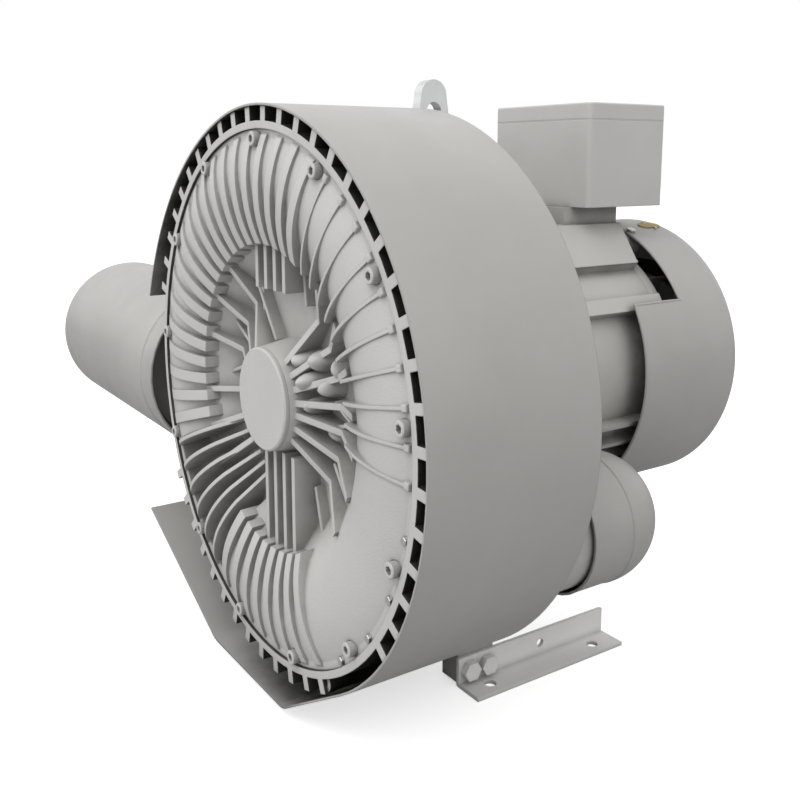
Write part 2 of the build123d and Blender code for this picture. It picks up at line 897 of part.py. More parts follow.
with BuildPart() as rear_shield:
    with BuildSketch(half_plane):
        section(frame_end, rear_shield_end, rear_boss - 1, frame_radius)
        section(frame_end - 6, frame_end + 1, frame_bore - 6, frame_bore - seat_fit)
        section(rear_bearing_start, rear_bearing_end + 2, rear_bearing_radius, rear_boss)
        section(rear_bearing_end, rear_bearing_end + 2, fan_seat + 2, rear_bearing_radius + 1)
    revolve(axis=shaft_line)
    with BuildSketch(station(frame_end)):
        with Locations([clock(cowl_inner - lug_radius, angle) for angle in lug_angles]):
            Circle(lug_radius)
    extrude(amount=lug_end - frame_end)
    with BuildSketch(station(frame_end)):
        Circle(cowl_inner + lug_radius)
        Circle(cowl_inner - seat_fit, mode=Mode.SUBTRACT)
    extrude(amount=lug_end - frame_end, mode=Mode.SUBTRACT)
    for plane in cowl_screw_planes:
        with BuildSketch(plane):
            Circle(cowl_screw_radius + seat_fit)
        extrude(amount=-cowl_sheet - cowl_screw_hole, mode=Mode.SUBTRACT)
finish(rear_shield, "rear_shield")

# Motor frame: smooth barrel, broad ridges on the upper sides, narrow ribs below
ridge_top = 139.0
ridge_width = 16.0
ridge_angles = (34.0, 58.0, 302.0, 326.0)
frame_rib_width = 5.0
frame_rib_angles = [110 + 10 * index for index in range(15)]
neck_width = 104.0
neck_start = 322.0
neck_end = 398.0
neck_wall = 15.0
neck_root = frame_radius - 14
shoulder_start = 240.0
shoulder_up = 150.0
shoulder_right = 58.0
shoulder_angle = 38.0
box_base = 168.0

with BuildPart() as motor_frame:
    with BuildSketch(station(frame_start)):
        Circle(frame_radius)
    extrude(amount=frame_end - frame_start)
    for angles, width in ((ridge_angles, ridge_width), (frame_rib_angles, frame_rib_width)):
        for angle in angles:
            with BuildSketch(station(frame_start)):
                with Locations(Location(clock((frame_radius + ridge_top) / 2 - 2, angle), angle)):
                    Rectangle(ridge_top - frame_radius + 4, width)
            extrude(amount=frame_end - frame_start)
    with BuildSketch(station(shoulder_start)):
        with BuildLine():
            Polyline(
                (shoulder_up, -shoulder_right),
                (shoulder_up, shoulder_right),
                clock(ridge_top, shoulder_angle),
                clock(ridge_top, -shoulder_angle),
                close=True,
            )
        make_face()
    extrude(amount=neck_end - shoulder_start)
    with BuildSketch(Plane.XY.offset(shaft_height + neck_root)):
        with Locations((0, (neck_start + neck_end) / 2 - front_to_foot)):
            Rectangle(neck_width, neck_end - neck_start)
    extrude(amount=box_base - neck_root)
    with BuildSketch(station(frame_start)):
        Circle(frame_bore)
    extrude(amount=frame_end - frame_start, mode=Mode.SUBTRACT)
    with BuildSketch(Plane.XY.offset(shaft_height)):
        with Locations((0, (neck_start + neck_end) / 2 - front_to_foot)):
            Rectangle(neck_width - 2 * neck_wall, neck_end - neck_start - 2 * neck_wall)
    extrude(amount=box_base, mode=Mode.SUBTRACT)
finish(motor_frame, "motor_frame")

# Cooling fan and its cowl
fan_radius = 118.0
fan_blades = 9
fan_blade_width = 3.0
cowl_top_start = 416.0
cowl_side_start = 350.0
cowl_side_angle = 60.0
cowl_cut_radius = cowl_radius / math.cos(math.radians(cowl_side_angle))
cowl_corner = 22.0
grille_inner = 90.0
grille_slot = 8.0
grille_spokes = 6
grille_spoke_width = 6.0

with BuildPart() as cooling_fan:
    with BuildSketch(half_plane):
        section(fan_start, fan_end, fan_seat + seat_fit, fan_seat + 12)
        section(fan_start, fan_start + 3, fan_seat + 11, fan_radius)
    revolve(axis=shaft_line)
    with BuildSketch(station(fan_start)):
        with PolarLocations((fan_seat + 10 + fan_radius) / 2, fan_blades):
            Rectangle(fan_radius - fan_seat - 10, fan_blade_width)
    extrude(amount=fan_end - fan_start + 6)
finish(cooling_fan, "cooling_fan")

with BuildPart() as fan_clip:
    with BuildSketch(half_plane):
        section(fan_end, fan_end + 2, fan_seat + seat_fit, fan_seat + 4)
    revolve(axis=shaft_line)
finish(fan_clip, "fan_clip")

with BuildPart() as fan_cowl:
    with BuildSketch(half_plane):
        with BuildLine():
            Polyline(
                (cowl_side_start, cowl_inner),
                (cowl_side_start, cowl_radius),
                (cowl_end - cowl_corner, cowl_radius),
            )
            RadiusArc(
                (cowl_end - cowl_corner, cowl_radius), (cowl_end, cowl_radius - cowl_corner), cowl_corner
            )
            Polyline(
                (cowl_end, cowl_radius - cowl_corner),
                (cowl_end, 0),
                (cowl_end - cowl_sheet, 0),
                (cowl_end - cowl_sheet, cowl_radius - cowl_corner),
            )
            RadiusArc(
                (cowl_end - cowl_sheet, cowl_radius - cowl_corner),
                (cowl_end - cowl_corner, cowl_inner),
                -(cowl_corner - cowl_sheet),
            )
            Line((cowl_end - cowl_corner, cowl_inner), (cowl_side_start, cowl_inner))
        make_face()
    revolve(axis=shaft_line)
    with BuildSketch(station(cowl_side_start)):
        with BuildLine():
            Polyline(
                (0, 0),
                clock(cowl_cut_radius, -cowl_side_angle),
                clock(cowl_cut_radius, cowl_side_angle),
                close=True,
            )
        make_face()
    extrude(amount=cowl_top_start - cowl_side_start, mode=Mode.SUBTRACT)
    with BuildSketch(station(cowl_end - cowl_sheet)):
        Circle(grille_inner + grille_slot)
        Circle(grille_inner, mode=Mode.SUBTRACT)
        with PolarLocations(0, grille_spokes):
            Rectangle(2 * cowl_radius, grille_spoke_width, mode=Mode.SUBTRACT)
    extrude(amount=cowl_sheet, mode=Mode.SUBTRACT)
    for plane in cowl_screw_planes:
        with BuildSketch(plane):
            Circle(cowl_screw_radius + joint_gap)
        extrude(amount=2 * cowl_sheet, both=True, mode=Mode.SUBTRACT)
finish(fan_cowl, "fan_cowl")

with BuildPart() as cowl_screws:
    for plane in cowl_screw_planes:
        with BuildSketch(plane):
            Circle(2 * cowl_screw_radius)
        extrude(amount=3)
        with BuildSketch(plane):
            Circle(cowl_screw_radius)
        extrude(amount=-cowl_sheet - cowl_screw_hole + 2)
finish(cowl_screws, "cowl_screws")

plate_depth = 465.0
plate_angle = 15.0
with BuildPart() as blank_plate:
    with BuildSketch(
        outward_plane(*clock(cowl_radius + seat_fit, plate_angle), plate_depth, plate_angle)
    ):
        SlotOverall(30, 14, rotation=90)
    extrude(amount=1)
finish(blank_plate, "blank_plate")

# Terminal box
box_left = -72.0
box_right = 75.0
box_start = 332.0
box_end = 443.0
box_wall = 4.0
box_height = 88.0
gasket_thickness = 1.0
lid_height = 16.0
lid_screw_inset = 9.0
lid_screw_radius = 2.5
lid_head_height = 3.0
lid_screw_length = 12.0
gland_thread = 12.0
gland_bore = 8.0
gland_depths = (364.0, 410.0)
gland_up = 206.0
gland_reach = 4.0
gland_nut = 8.0
gland_dome = 14.0
wire_hole_width = 40.0
wire_hole_length = 24.0
box_width = box_right - box_left
box_length = box_end - box_start
box_centre = ((box_left + box_right) / 2, (box_start + box_end) / 2 - front_to_foot)
screw_spots = GridLocations(
    box_width - 2 * lid_screw_inset, box_length - 2 * lid_screw_inset, 2, 2
).local_locations
box_floor = Plane(origin=(*box_centre, shaft_height + box_base))
post_size = 2 * lid_screw_inset
gland_planes = [
    Plane(
        origin=(box_left, depth - front_to_foot, shaft_height + gland_up),
        x_dir=(0, 1, 0),
        z_dir=(-1, 0, 0),
    )
    for depth in gland_depths
]

with BuildPart() as terminal_box:
    with BuildSketch(box_floor):
        RectangleRounded(box_width, box_length, 5)
    extrude(amount=box_height)
    with BuildSketch(box_floor.offset(box_wall)):
        RectangleRounded(box_width - 2 * box_wall, box_length - 2 * box_wall, 3)
        with Locations(screw_spots):
            Rectangle(post_size, post_size, mode=Mode.SUBTRACT)
    extrude(amount=box_height - box_wall, mode=Mode.SUBTRACT)
    with BuildSketch(box_floor.offset(box_height)):
        with Locations(screw_spots):
            Circle(lid_screw_radius + seat_fit)
    extrude(amount=-20, mode=Mode.SUBTRACT)
    with BuildSketch(box_floor):
        with Locations((-box_centre[0], (neck_start + neck_end) / 2 - front_to_foot - box_centre[1])):
            Rectangle(wire_hole_width, wire_hole_length)
    extrude(amount=box_wall, mode=Mode.SUBTRACT)
    for plane in gland_planes:
        with BuildSketch(plane):
            Circle(gland_thread)
        extrude(amount=-box_wall, mode=Mode.SUBTRACT)
finish(terminal_box, "terminal_box")

with BuildPart() as box_gasket:
    with BuildSketch(box_floor.offset(box_height)):
        RectangleRounded(box_width, box_length, 5)
        Rectangle(box_width - 2 * post_size, box_length - 4 * box_wall, mode=Mode.SUBTRACT)
        with Locations(screw_spots):
            Circle(lid_screw_radius + joint_gap, mode=Mode.SUBTRACT)
    extrude(amount=gasket_thickness)
finish(box_gasket, "box_gasket")

lid_floor = box_floor.offset(box_height + gasket_thickness)
with BuildPart() as box_lid:
    with BuildSketch(lid_floor):
        RectangleRounded(box_width, box_length, 5)
    extrude(amount=lid_height)
    chamfer(box_lid.faces().sort_by(Axis.Z)[-1].edges(), 1.2)
    with BuildSketch(lid_floor):
        Rectangle(box_width - 2 * post_size, box_length - 2 * box_wall)
    extrude(amount=lid_height - box_wall, mode=Mode.SUBTRACT)
    with BuildSketch(lid_floor):
        with Locations(screw_spots):
            Circle(lid_screw_radius + joint_gap)
    extrude(amount=lid_height, mode=Mode.SUBTRACT)
    with BuildSketch(lid_floor.offset(lid_height)):
        with Locations(screw_spots):
            Circle(2 * lid_screw_radius + joint_gap)
    extrude(amount=-lid_head_height, mode=Mode.SUBTRACT)
finish(box_lid, "box_lid")

with BuildPart() as lid_screws:
    with BuildSketch(lid_floor.offset(lid_height)):
        with Locations(screw_spots):
            Circle(2 * lid_screw_radius)
    extrude(amount=-lid_head_height)
    with BuildSketch(lid_floor.offset(-lid_screw_length)):
        with Locations(screw_spots):
            Circle(lid_screw_radius)
    extrude(amount=lid_height + lid_screw_length - lid_head_height)
finish(lid_screws, "lid_screws")

board_width = 80.0
board_length = 36.0
board_height = 16.0
stud_radius = 3.0
stud_height = 14.0
board_side = 10.0
board_spot = (board_side, box_length / 2 - box_wall - board_length / 2 - joint_gap)
with BuildPart() as terminal_board:
    with BuildSketch(box_floor.offset(box_wall)):
        with Locations(board_spot):
            RectangleRounded(board_width, board_length, 3)
    extrude(amount=board_height)
    with BuildSketch(box_floor.offset(box_wall + board_height)):
        with Locations(board_spot):
            with GridLocations(board_width / 3, board_length / 2, 3, 2):
                Circle(stud_radius)
    extrude(amount=stud_height)
finish(terminal_board, "terminal_board")

with BuildPart() as cable_glands:
    for gland_plane in gland_planes:
        with BuildSketch(gland_plane.offset(-box_wall - gland_reach)):
            Circle(gland_thread - seat_fit)
        extrude(amount=box_wall + gland_reach)
        with BuildSketch(gland_plane):
            RegularPolygon(gland_thread + 5, 6)
        extrude(amount=gland_nut)
        with BuildSketch(gland_plane.offset(gland_nut)):
            Circle(gland_thread + 2)
        extrude(amount=gland_dome, taper=8)
        with BuildSketch(gland_plane.offset(-box_wall - gland_reach)):
            Circle(gland_bore)
        extrude(amount=box_wall + gland_reach + gland_nut + gland_dome, mode=Mode.SUBTRACT)
finish(cable_glands, "cable_glands")

# Lifting eye on the rear housing
eye_plane = Plane(
    origin=(0, eye_depth - front_to_foot, shaft_height + eye_seat), x_dir=(0, 1, 0), z_dir=(1, 0, 0)
)
eye_flange = 5.0
eye_top = 47.0
eye_tip_radius = 15.0
eye_half_base = 19.0
eye_thickness = 12.0
eye_hole_up = 17.0
eye_hole_radius = 8.5

with BuildPart() as lifting_eye:
    with BuildSketch(Plane.XY.offset(shaft_height + eye_seat)):
        with Locations((0, eye_depth - front_to_foot)):
            Circle(eye_boss_radius)
    extrude(amount=eye_flange)
    with BuildSketch(eye_plane):
        with BuildLine():
            Polyline(
                (-eye_tip_radius, eye_top - eye_tip_radius),
                (-eye_half_base, eye_flange - 1),
                (eye_half_base, eye_flange - 1),
                (eye_tip_radius, eye_top - eye_tip_radius),
            )
            ThreePointArc(
                (eye_tip_radius, eye_top - eye_tip_radius),
                (0, eye_top),
                (-eye_tip_radius, eye_top - eye_tip_radius),
            )
        make_face()
        with Locations((0, eye_hole_up)):
            Circle(eye_hole_radius, mode=Mode.SUBTRACT)
    extrude(amount=eye_thickness / 2, both=True)
    with BuildSketch(Plane.XY.offset(shaft_height + eye_seat)):
        with Locations((0, eye_depth - front_to_foot)):
            Circle(eye_thread)
    extrude(amount=-eye_thread_length)
finish(lifting_eye, "lifting_eye")

# Shroud: one bent sheet, from the upper left over the top and round to the lower left
shroud_middle = shroud_radius - shroud_sheet / 2
tangent_angle = 148.0
bend_radius = 24.0
flap_tip = (-204.0, -317.0)
flap_foot = -127.0
floor_up = shroud_sheet / 2 - shroud_floor
tangent_up, tangent_right = clock(shroud_middle, tangent_angle)
fall_up, fall_right = clock(1, tangent_angle + 90)
fall = (floor_up - tangent_up) / fall_up

with BuildPart() as shroud:
    with BuildSketch(front_plane):
        with BuildLine():
            ThreePointArc(
                flare_point(flare_radius - shroud_sheet / 2, flare_end),
                flare_point(flare_radius - shroud_sheet / 2, (flare_end + flare_start) / 2),
                flare_point(flare_radius - shroud_sheet / 2, flare_start),
            )
            ThreePointArc(
                flare_point(flare_radius - shroud_sheet / 2, flare_start),
                clock(shroud_middle, (flare_start + tangent_angle) / 2),
                (tangent_up, tangent_right),
            )
            FilletPolyline(
                (tangent_up, tangent_right),
                (floor_up, tangent_right + fall * fall_right),
                (floor_up, flap_foot),
                flap_tip,
                radius=bend_radius,
            )
        trace(line_width=shroud_sheet)
    extrude(amount=shroud_depth)
    for plane, length in boss_planes:
        with BuildSketch(plane.offset(length)):
            with Locations(boss_spots):
                Circle(shroud_screw_radius + joint_gap)
        extrude(amount=2 * shroud_sheet, mode=Mode.SUBTRACT)
finish(shroud, "shroud")

shroud_head_height = 3.0
with BuildPart() as shroud_screws:
    for plane, length in boss_planes:
        with BuildSketch(plane.offset(length + boss_gap + shroud_sheet + seat_fit)):
            with Locations(boss_spots):
                Circle(2 * shroud_screw_radius)
        extrude(amount=shroud_head_height)
        with BuildSketch(plane.offset(length + boss_gap + shroud_sheet + seat_fit)):
            with Locations(boss_spots):
                Circle(shroud_screw_radius)
        extrude(amount=-boss_hole)
finish(shroud_screws, "shroud_screws")

# Bolts of the casing and of the motor flange
bolt_grip = 22.0
with BuildPart() as casing_bolts:
    with BuildSketch(station(cover_front - bolt_head_height)):
        with Locations([clock(bolt_radius, angle) for angle in bolt_angles]):
            Circle(bolt_head)
    extrude(amount=bolt_head_height)
    with BuildSketch(station(cover_front)):
        with Locations([clock(bolt_radius, angle) for angle in bolt_angles]):
            Circle(bolt_thread)
    extrude(amount=partition_end + bolt_grip - cover_front)
finish(casing_bolts, "casing_bolts")

# Silencers on the two ports; "along" is measured from the mouth of the port
silencer_wall = 5.0
silencer_flange = 12.0
silencer_bevel = 9.0
inner_bevel = 6.0
tube_wall = 2.0
tube_step = 1.0
tube_slot = 10.0
port_rim = 6.0
port_collar = 14.0
silencer_head = 8.0
silencer_head_height = 6.4
# name, mouth, flange, bolt circle, bore, neck, neck length, radius, end of the straight side, dome
silencers = (
    ("inlet", inlet_mouth, port_flange_radius, port_bolt_circle, port_bore, 46.0, 30.0, 99.6, 359.0, 66.0),
    (
        "outlet", outlet_mouth, outlet_flange_radius, outlet_bolt_circle, outlet_bore,
        36.0, 26.0, 62.0, 38.0, 60.0,
    ),
)


def dome_reach(radius, dome, rim):
    """Distance that a rounded end reaches beyond the straight side, at a rim radius."""
    return math.sqrt(dome**2 - (rim - radius + dome) ** 2)


def silencer_shape(start, bend, radius, bevel, dome, rim):
    """Outline of a round vessel: bevelled start, rounded end that is cut flat inside the rim."""
    end = bend + dome_reach(radius, dome, rim)
    with BuildLine() as outline:
        Polyline((start, 0), (start, radius - bevel), (start + bevel, radius), (bend, radius))
        RadiusArc((bend, radius), (end, rim), dome)
        Polyline((end, rim), (end, 0), (start, 0))
    make_face(outline.edges())


for port, mouth, flange, circle, bore, neck, neck_length, radius, bend, dome in silencers:
    along = Axis(mouth.origin, mouth.z_dir)
    side_plane = Plane(origin=mouth.origin, x_dir=mouth.z_dir, z_dir=mouth.x_dir)
    rim = bore + port_rim
    length = bend + dome_reach(radius, dome, rim)
    inner_start = neck_length + silencer_wall
    tube_end = length - port_collar
    tube_outer = bore + tube_step + tube_wall
    with BuildPart() as silencer:
        with BuildSketch(side_plane):
            section(0, silencer_flange, 0, flange)
            section(0, inner_start, 0, neck)
            silencer_shape(neck_length, bend, radius, silencer_bevel, dome, rim)
        revolve(axis=along)
        with BuildSketch(side_plane):
            silencer_shape(
                inner_start, bend, radius - silencer_wall, inner_bevel, dome - silencer_wall, rim
            )
        revolve(axis=along, mode=Mode.SUBTRACT)
        with BuildSketch(side_plane):
            section(tube_end, length, bore, rim)
        revolve(axis=along)
        with BuildSketch(mouth):
            Circle(bore)
        extrude(amount=length, mode=Mode.SUBTRACT)
        with BuildSketch(mouth):
            with PolarLocations(circle, 4, start_angle=45):
                Circle(port_thread + joint_gap)
        extrude(amount=silencer_flange, mode=Mode.SUBTRACT)
    finish(silencer, f"{port}_silencer")
    with BuildPart() as tube:
        with BuildSketch(side_plane):
            section(inner_start, tube_end, bore + tube_step, tube_outer)
        revolve(axis=along)
        with BuildSketch(mouth.offset(inner_start + tube_slot)):
            with PolarLocations(bore, 4):
                Rectangle(4 * tube_wall, tube_slot)
        extrude(amount=tube_end - inner_start - 2 * tube_slot, mode=Mode.SUBTRACT)
    finish(tube, f"{port}_tube")
    with BuildPart() as foam:
        with BuildSketch(side_plane):
            silencer_shape(
                inner_start + joint_gap,
                bend,
                radius - silencer_wall - joint_gap,
                inner_bevel,
                dome - silencer_wall - joint_gap,
                rim,
            )
            section(0, length, 0, tube_outer + joint_gap, mode=Mode.SUBTRACT)
            section(tube_end - joint_gap, length, 0, rim + joint_gap, mode=Mode.SUBTRACT)
        revolve(axis=along)
    finish(foam, f"{port}_foam")
    with BuildPart() as port_bolts:
        with BuildSketch(mouth.offset(silencer_flange)):
            with PolarLocations(circle, 4, start_angle=45):
                Circle(silencer_head)
        extrude(amount=silencer_head_height)
        with BuildSketch(mouth.offset(silencer_flange)):
            with PolarLocations(circle, 4, start_angle=45):
                Circle(port_thread)
        extrude(amount=-silencer_flange - port_flange_thickness + 1)
    finish(port_bolts, f"{port}_bolts")

# Foot rails and their bolts
rail_thickness = 4.0
rail_height = 30.0
rail_edge = 115.0
rail_start = 168.0
rail_end = 365.0
mount_right = 100.0
mount_depths = (195.0, 335.0)
mount_hole = 6.0
spare_hole_depth = 275.0
spare_hole = 4.5
foot_head = 9.0
foot_head_height = 7.5
foot_bolt_length = 20.0


def rail_plane(side, offset):
    """Upright plane at a distance from the middle, x along the shaft and z outwards."""
    return Plane(origin=(side * offset, -front_to_foot, 0), x_dir=(0, 1, 0), z_dir=(side, 0, 0))


for side, hand in ((-1, "left"), (1, "right")):
    rail_middle = (rail_start + rail_end) / 2
    with BuildPart() as foot_rail:
        with BuildSketch(rail_plane(side, leg_outer)):
            with Locations((rail_middle, side * rail_height / 2)):
                Rectangle(rail_end - rail_start, rail_height)
        extrude(amount=rail_thickness)
        with BuildSketch(Plane.XY):
            with Locations((side * (leg_outer + rail_edge) / 2, rail_middle - front_to_foot)):
                Rectangle(rail_edge - leg_outer, rail_end - rail_start)
        extrude(amount=rail_thickness)
        bend = foot_rail.edges().filter_by(Axis.Y).sort_by(lambda edge: abs(edge.center().X))[0:4]
        fillet(bend.sort_by(Axis.Z)[0], rail_thickness - 1)
        with BuildSketch(Plane.XY):
            with Locations([(side * mount_right, depth - front_to_foot) for depth in mount_depths]):
                Circle(mount_hole)
        extrude(amount=rail_thickness, mode=Mode.SUBTRACT)
        with BuildSketch(rail_plane(side, leg_outer)):
            with Locations([
                (depth, side * (shaft_height - foot_bolt_up)) for depth in foot_bolt_depths
            ]):
                Circle(foot_bolt_radius + joint_gap)
            with Locations((spare_hole_depth, side * (shaft_height - foot_bolt_up))):
                Circle(spare_hole)
        extrude(amount=rail_thickness, mode=Mode.SUBTRACT)
    finish(foot_rail, f"foot_rail_{hand}")

with BuildPart() as foot_bolts:
    for side in (-1, 1):
        with BuildSketch(rail_plane(side, leg_outer + rail_thickness)):
            with Locations([
                (depth, side * (shaft_height - foot_bolt_up)) for depth in foot_bolt_depths
            ]):
                RegularPolygon(foot_head, 6, major_radius=False)
        extrude(amount=foot_head_height)
        with BuildSketch(rail_plane(side, leg_outer + rail_thickness)):
            with Locations([
                (depth, side * (shaft_height - foot_bolt_up)) for depth in foot_bolt_depths
            ]):
                Circle(foot_bolt_radius)
        extrude(amount=-foot_bolt_length)
finish(foot_bolts, "foot_bolts")
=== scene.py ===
import json
import math
import random

import bpy
from mathutils import Matrix, Vector


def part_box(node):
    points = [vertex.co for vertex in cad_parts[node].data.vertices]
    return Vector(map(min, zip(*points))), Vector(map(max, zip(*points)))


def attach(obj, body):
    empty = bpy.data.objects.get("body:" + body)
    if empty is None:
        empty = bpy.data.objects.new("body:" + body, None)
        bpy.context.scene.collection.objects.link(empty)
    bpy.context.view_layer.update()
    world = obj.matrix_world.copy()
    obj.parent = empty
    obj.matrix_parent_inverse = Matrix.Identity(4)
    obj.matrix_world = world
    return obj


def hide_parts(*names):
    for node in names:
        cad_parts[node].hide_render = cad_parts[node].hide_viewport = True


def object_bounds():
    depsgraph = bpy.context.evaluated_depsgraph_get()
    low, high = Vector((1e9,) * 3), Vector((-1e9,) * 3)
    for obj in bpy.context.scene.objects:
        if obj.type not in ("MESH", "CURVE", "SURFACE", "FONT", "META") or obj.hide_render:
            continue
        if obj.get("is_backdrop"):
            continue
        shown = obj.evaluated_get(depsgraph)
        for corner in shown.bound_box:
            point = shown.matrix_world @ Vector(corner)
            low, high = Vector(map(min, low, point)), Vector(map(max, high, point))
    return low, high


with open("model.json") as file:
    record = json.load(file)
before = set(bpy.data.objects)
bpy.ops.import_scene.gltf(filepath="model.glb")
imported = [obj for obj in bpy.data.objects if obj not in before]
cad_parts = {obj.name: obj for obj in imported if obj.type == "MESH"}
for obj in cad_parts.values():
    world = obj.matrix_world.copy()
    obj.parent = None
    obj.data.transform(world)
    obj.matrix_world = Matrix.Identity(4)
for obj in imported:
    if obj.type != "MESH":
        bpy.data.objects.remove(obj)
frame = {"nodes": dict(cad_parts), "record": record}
cad_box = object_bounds()
nodes = frame["nodes"]
scene = bpy.context.scene

# Camera, from the photograph's perspective; the principal point lies above the middle of the frame
CAMERA_PLACE = Vector((0.7742, -0.6288, 0.5167))
CAMERA_YAW = 56.21
CAMERA_DROP = 9.59
CAMERA_LENS = 42.81
SENSOR = 36.0
FRAME_SHIFT = -0.1

# Light all round, and the floor as the camera sees it and as it throws light back at the object
WORLD_LIGHT = 0.62
WORLD_SEEN = 1.0
FLOOR_REACH = 14.0
FLOOR_LIFT = 0.62
FLOOR_SEEN = (0.9, 0.9, 0.9)
FLOOR_BOUNCE = (0.45, 0.45, 0.45)

# Colours, linear
PAINT = (0.49, 0.485, 0.465)
CAST = (0.57, 0.565, 0.55)
SHEET = (0.41, 0.405, 0.39)
BOX_PAINT = (0.55, 0.545, 0.53)
RAIL = (0.88, 0.875, 0.86)
BARE_STEEL = (0.60, 0.60, 0.61)
DARK_STEEL = (0.22, 0.22, 0.23)
RUBBER = (0.03, 0.03, 0.03)
COPPER = (0.55, 0.24, 0.12)
YELLOW = (0.36, 0.25, 0.055)
ALUMINIUM = (0.66, 0.66, 0.67)
BEARING_STEEL = (0.7, 0.7, 0.72)
ZINC = (0.62, 0.615, 0.59)
EYE_STEEL = (0.70, 0.705, 0.71)
FOAM = (0.07, 0.07, 0.075)
PLASTIC = (0.035, 0.035, 0.036)
# Colour that corners and recesses darken towards: painted shade with a little dirt
DIRT_AND_SHADE = (0.10, 0.095, 0.085)
# Near black for painted shade in deep recesses and slots
SHADE_BLACK = (0.022, 0.021, 0.019)

# Stretch of a metal's fine lines: turned round the shaft, or stacked sheets across it
TURNED = (1.0, 30.0, 1.0)
STACKED = (0.2, 40.0, 0.2)


class Tree:
    """A material's node tree, with short calls for the nodes it needs."""

    def __init__(self, name):
        self.material = bpy.data.materials.new(name)
        self.material.use_nodes = True
        self.tree = self.material.node_tree
        self.tree.nodes.clear()
        self.output = self.tree.nodes.new("ShaderNodeOutputMaterial")
        self.surface = self.tree.nodes.new("ShaderNodeBsdfPrincipled")
        self.tree.links.new(self.surface.outputs["BSDF"], self.output.inputs["Surface"])

    def link(self, source, target):
        self.tree.links.new(source, target)

    def add(self, kind, **settings):
        node = self.tree.nodes.new(kind)
        for name, value in settings.items():
            setattr(node, name, value)
        return node

    def place(self):
        return self.add("ShaderNodeTexCoord").outputs["Object"]

    def stretched(self, scale):
        """Object coordinates scaled differently along each axis."""
        mapping = self.add("ShaderNodeMapping")
        mapping.inputs["Scale"].default_value = scale
        self.link(self.place(), mapping.inputs["Vector"])
        return mapping.outputs["Vector"]

    def noise(self, scale, detail=4.0, rough=0.55, vector=None):
        node = self.add("ShaderNodeTexNoise")
        node.inputs["Scale"].default_value = scale
        node.inputs["Detail"].default_value = detail
        node.inputs["Roughness"].default_value = rough
        self.link(vector or self.place(), node.inputs["Vector"])
        return node.outputs["Fac"]

    def ramp(self, value, low, high, start=0.0, end=1.0):
        """Maps low..high of a value to start..end."""
        node = self.add("ShaderNodeMapRange")
        node.inputs["From Min"].default_value = low
        node.inputs["From Max"].default_value = high
        node.inputs["To Min"].default_value = start
        node.inputs["To Max"].default_value = end
        self.link(value, node.inputs["Value"])
        return node.outputs["Result"]

    def sum(self, first, second, operation="ADD"):
        node = self.add("ShaderNodeMath", operation=operation)
        self.link(first, node.inputs[0])
        if isinstance(second, float):
            node.inputs[1].default_value = second
        else:
            self.link(second, node.inputs[1])
        return node.outputs["Value"]

    def mix(self, share, first, second):
        """Colour from first to second; either may be a colour or a socket."""
        node = self.add("ShaderNodeMix", data_type="RGBA")
        self.link(share, node.inputs["Factor"])
        for value, socket in ((first, node.inputs["A"]), (second, node.inputs["B"])):
            if isinstance(value, tuple):
                socket.default_value = (*value, 1.0)
            else:
                self.link(value, socket)
        return node.outputs["Result"]

    def corner_shade(self, reach):
        """1 in tight corners, 0 in the open; an occlusion mask that the materials use to paint shade."""
        node = self.add("ShaderNodeAmbientOcclusion", samples=8)
        node.inputs["Distance"].default_value = reach
        return self.ramp(node.outputs["AO"], 0.35, 0.9, 1.0, 0.0)

    def soft_normal(self, radius):
        node = self.add("ShaderNodeBevel", samples=4)
        node.inputs["Radius"].default_value = radius
        return node.outputs["Normal"]

    def edges(self, radius):
        """1 on sharp edges, 0 on flat ground."""
        geometry = self.add("ShaderNodeNewGeometry")
        dot = self.add("ShaderNodeVectorMath", operation="DOT_PRODUCT")
        self.link(self.soft_normal(radius), dot.inputs[0])
        self.link(geometry.outputs["Normal"], dot.inputs[1])
        return self.ramp(dot.outputs["Value"], 0.98, 0.80)

    def bump(self, height, distance, strength=1.0, normal=None):
        node = self.add("ShaderNodeBump")
        node.inputs["Distance"].default_value = distance
        node.inputs["Strength"].default_value = strength
        self.link(height, node.inputs["Height"])
        if normal is not None:
            self.link(normal, node.inputs["Normal"])
        return node.outputs["Normal"]

    def finish(self, colour, rough, normal):
        self.link(colour, self.surface.inputs["Base Color"])
        self.link(rough, self.surface.inputs["Roughness"])
        self.link(normal, self.surface.inputs["Normal"])
        return self.material


def darker(colour, share):
    return tuple(channel * share for channel in colour)


def paint(name, colour, grain, grain_height, rough, edge, shade_reach=0.03, dirt_and_shade_share=0.75, dirt_and_shade_colour=DIRT_AND_SHADE):
    """Satin paint with cloudy tone, worn edges, a fine skin, and corners darkened by painted shade mixed
    with a little mottled dirt.
    """
    tree = Tree(name)
    cloud = tree.ramp(tree.noise(6.0, 5.0), 0.3, 0.7)
    base = tree.mix(cloud, darker(colour, 0.93), darker(colour, 1.05))
    # Painted shade: occlusion darkens corners and recesses, broken up by noise that stands for dirt
    dirt_and_shade = tree.sum(
        tree.corner_shade(shade_reach), tree.ramp(tree.noise(45.0, 6.0), 0.35, 0.7, 0.7, 1.0), "MULTIPLY"
    )
    base = tree.mix(tree.sum(dirt_and_shade, dirt_and_shade_share, "MULTIPLY"), base, dirt_and_shade_colour)
    worn = tree.sum(tree.edges(0.0012), tree.ramp(tree.noise(70.0), 0.5, 0.66), "MULTIPLY")
    base = tree.mix(tree.sum(worn, edge, "MULTIPLY"), base, BARE_STEEL)
    shine = tree.ramp(tree.noise(18.0, 3.0), 0.3, 0.7, rough - 0.06, rough + 0.08)
    skin = tree.bump(tree.noise(grain, 3.0), grain_height, 0.6, tree.soft_normal(0.0015))
    return tree.finish(base, shine, skin)


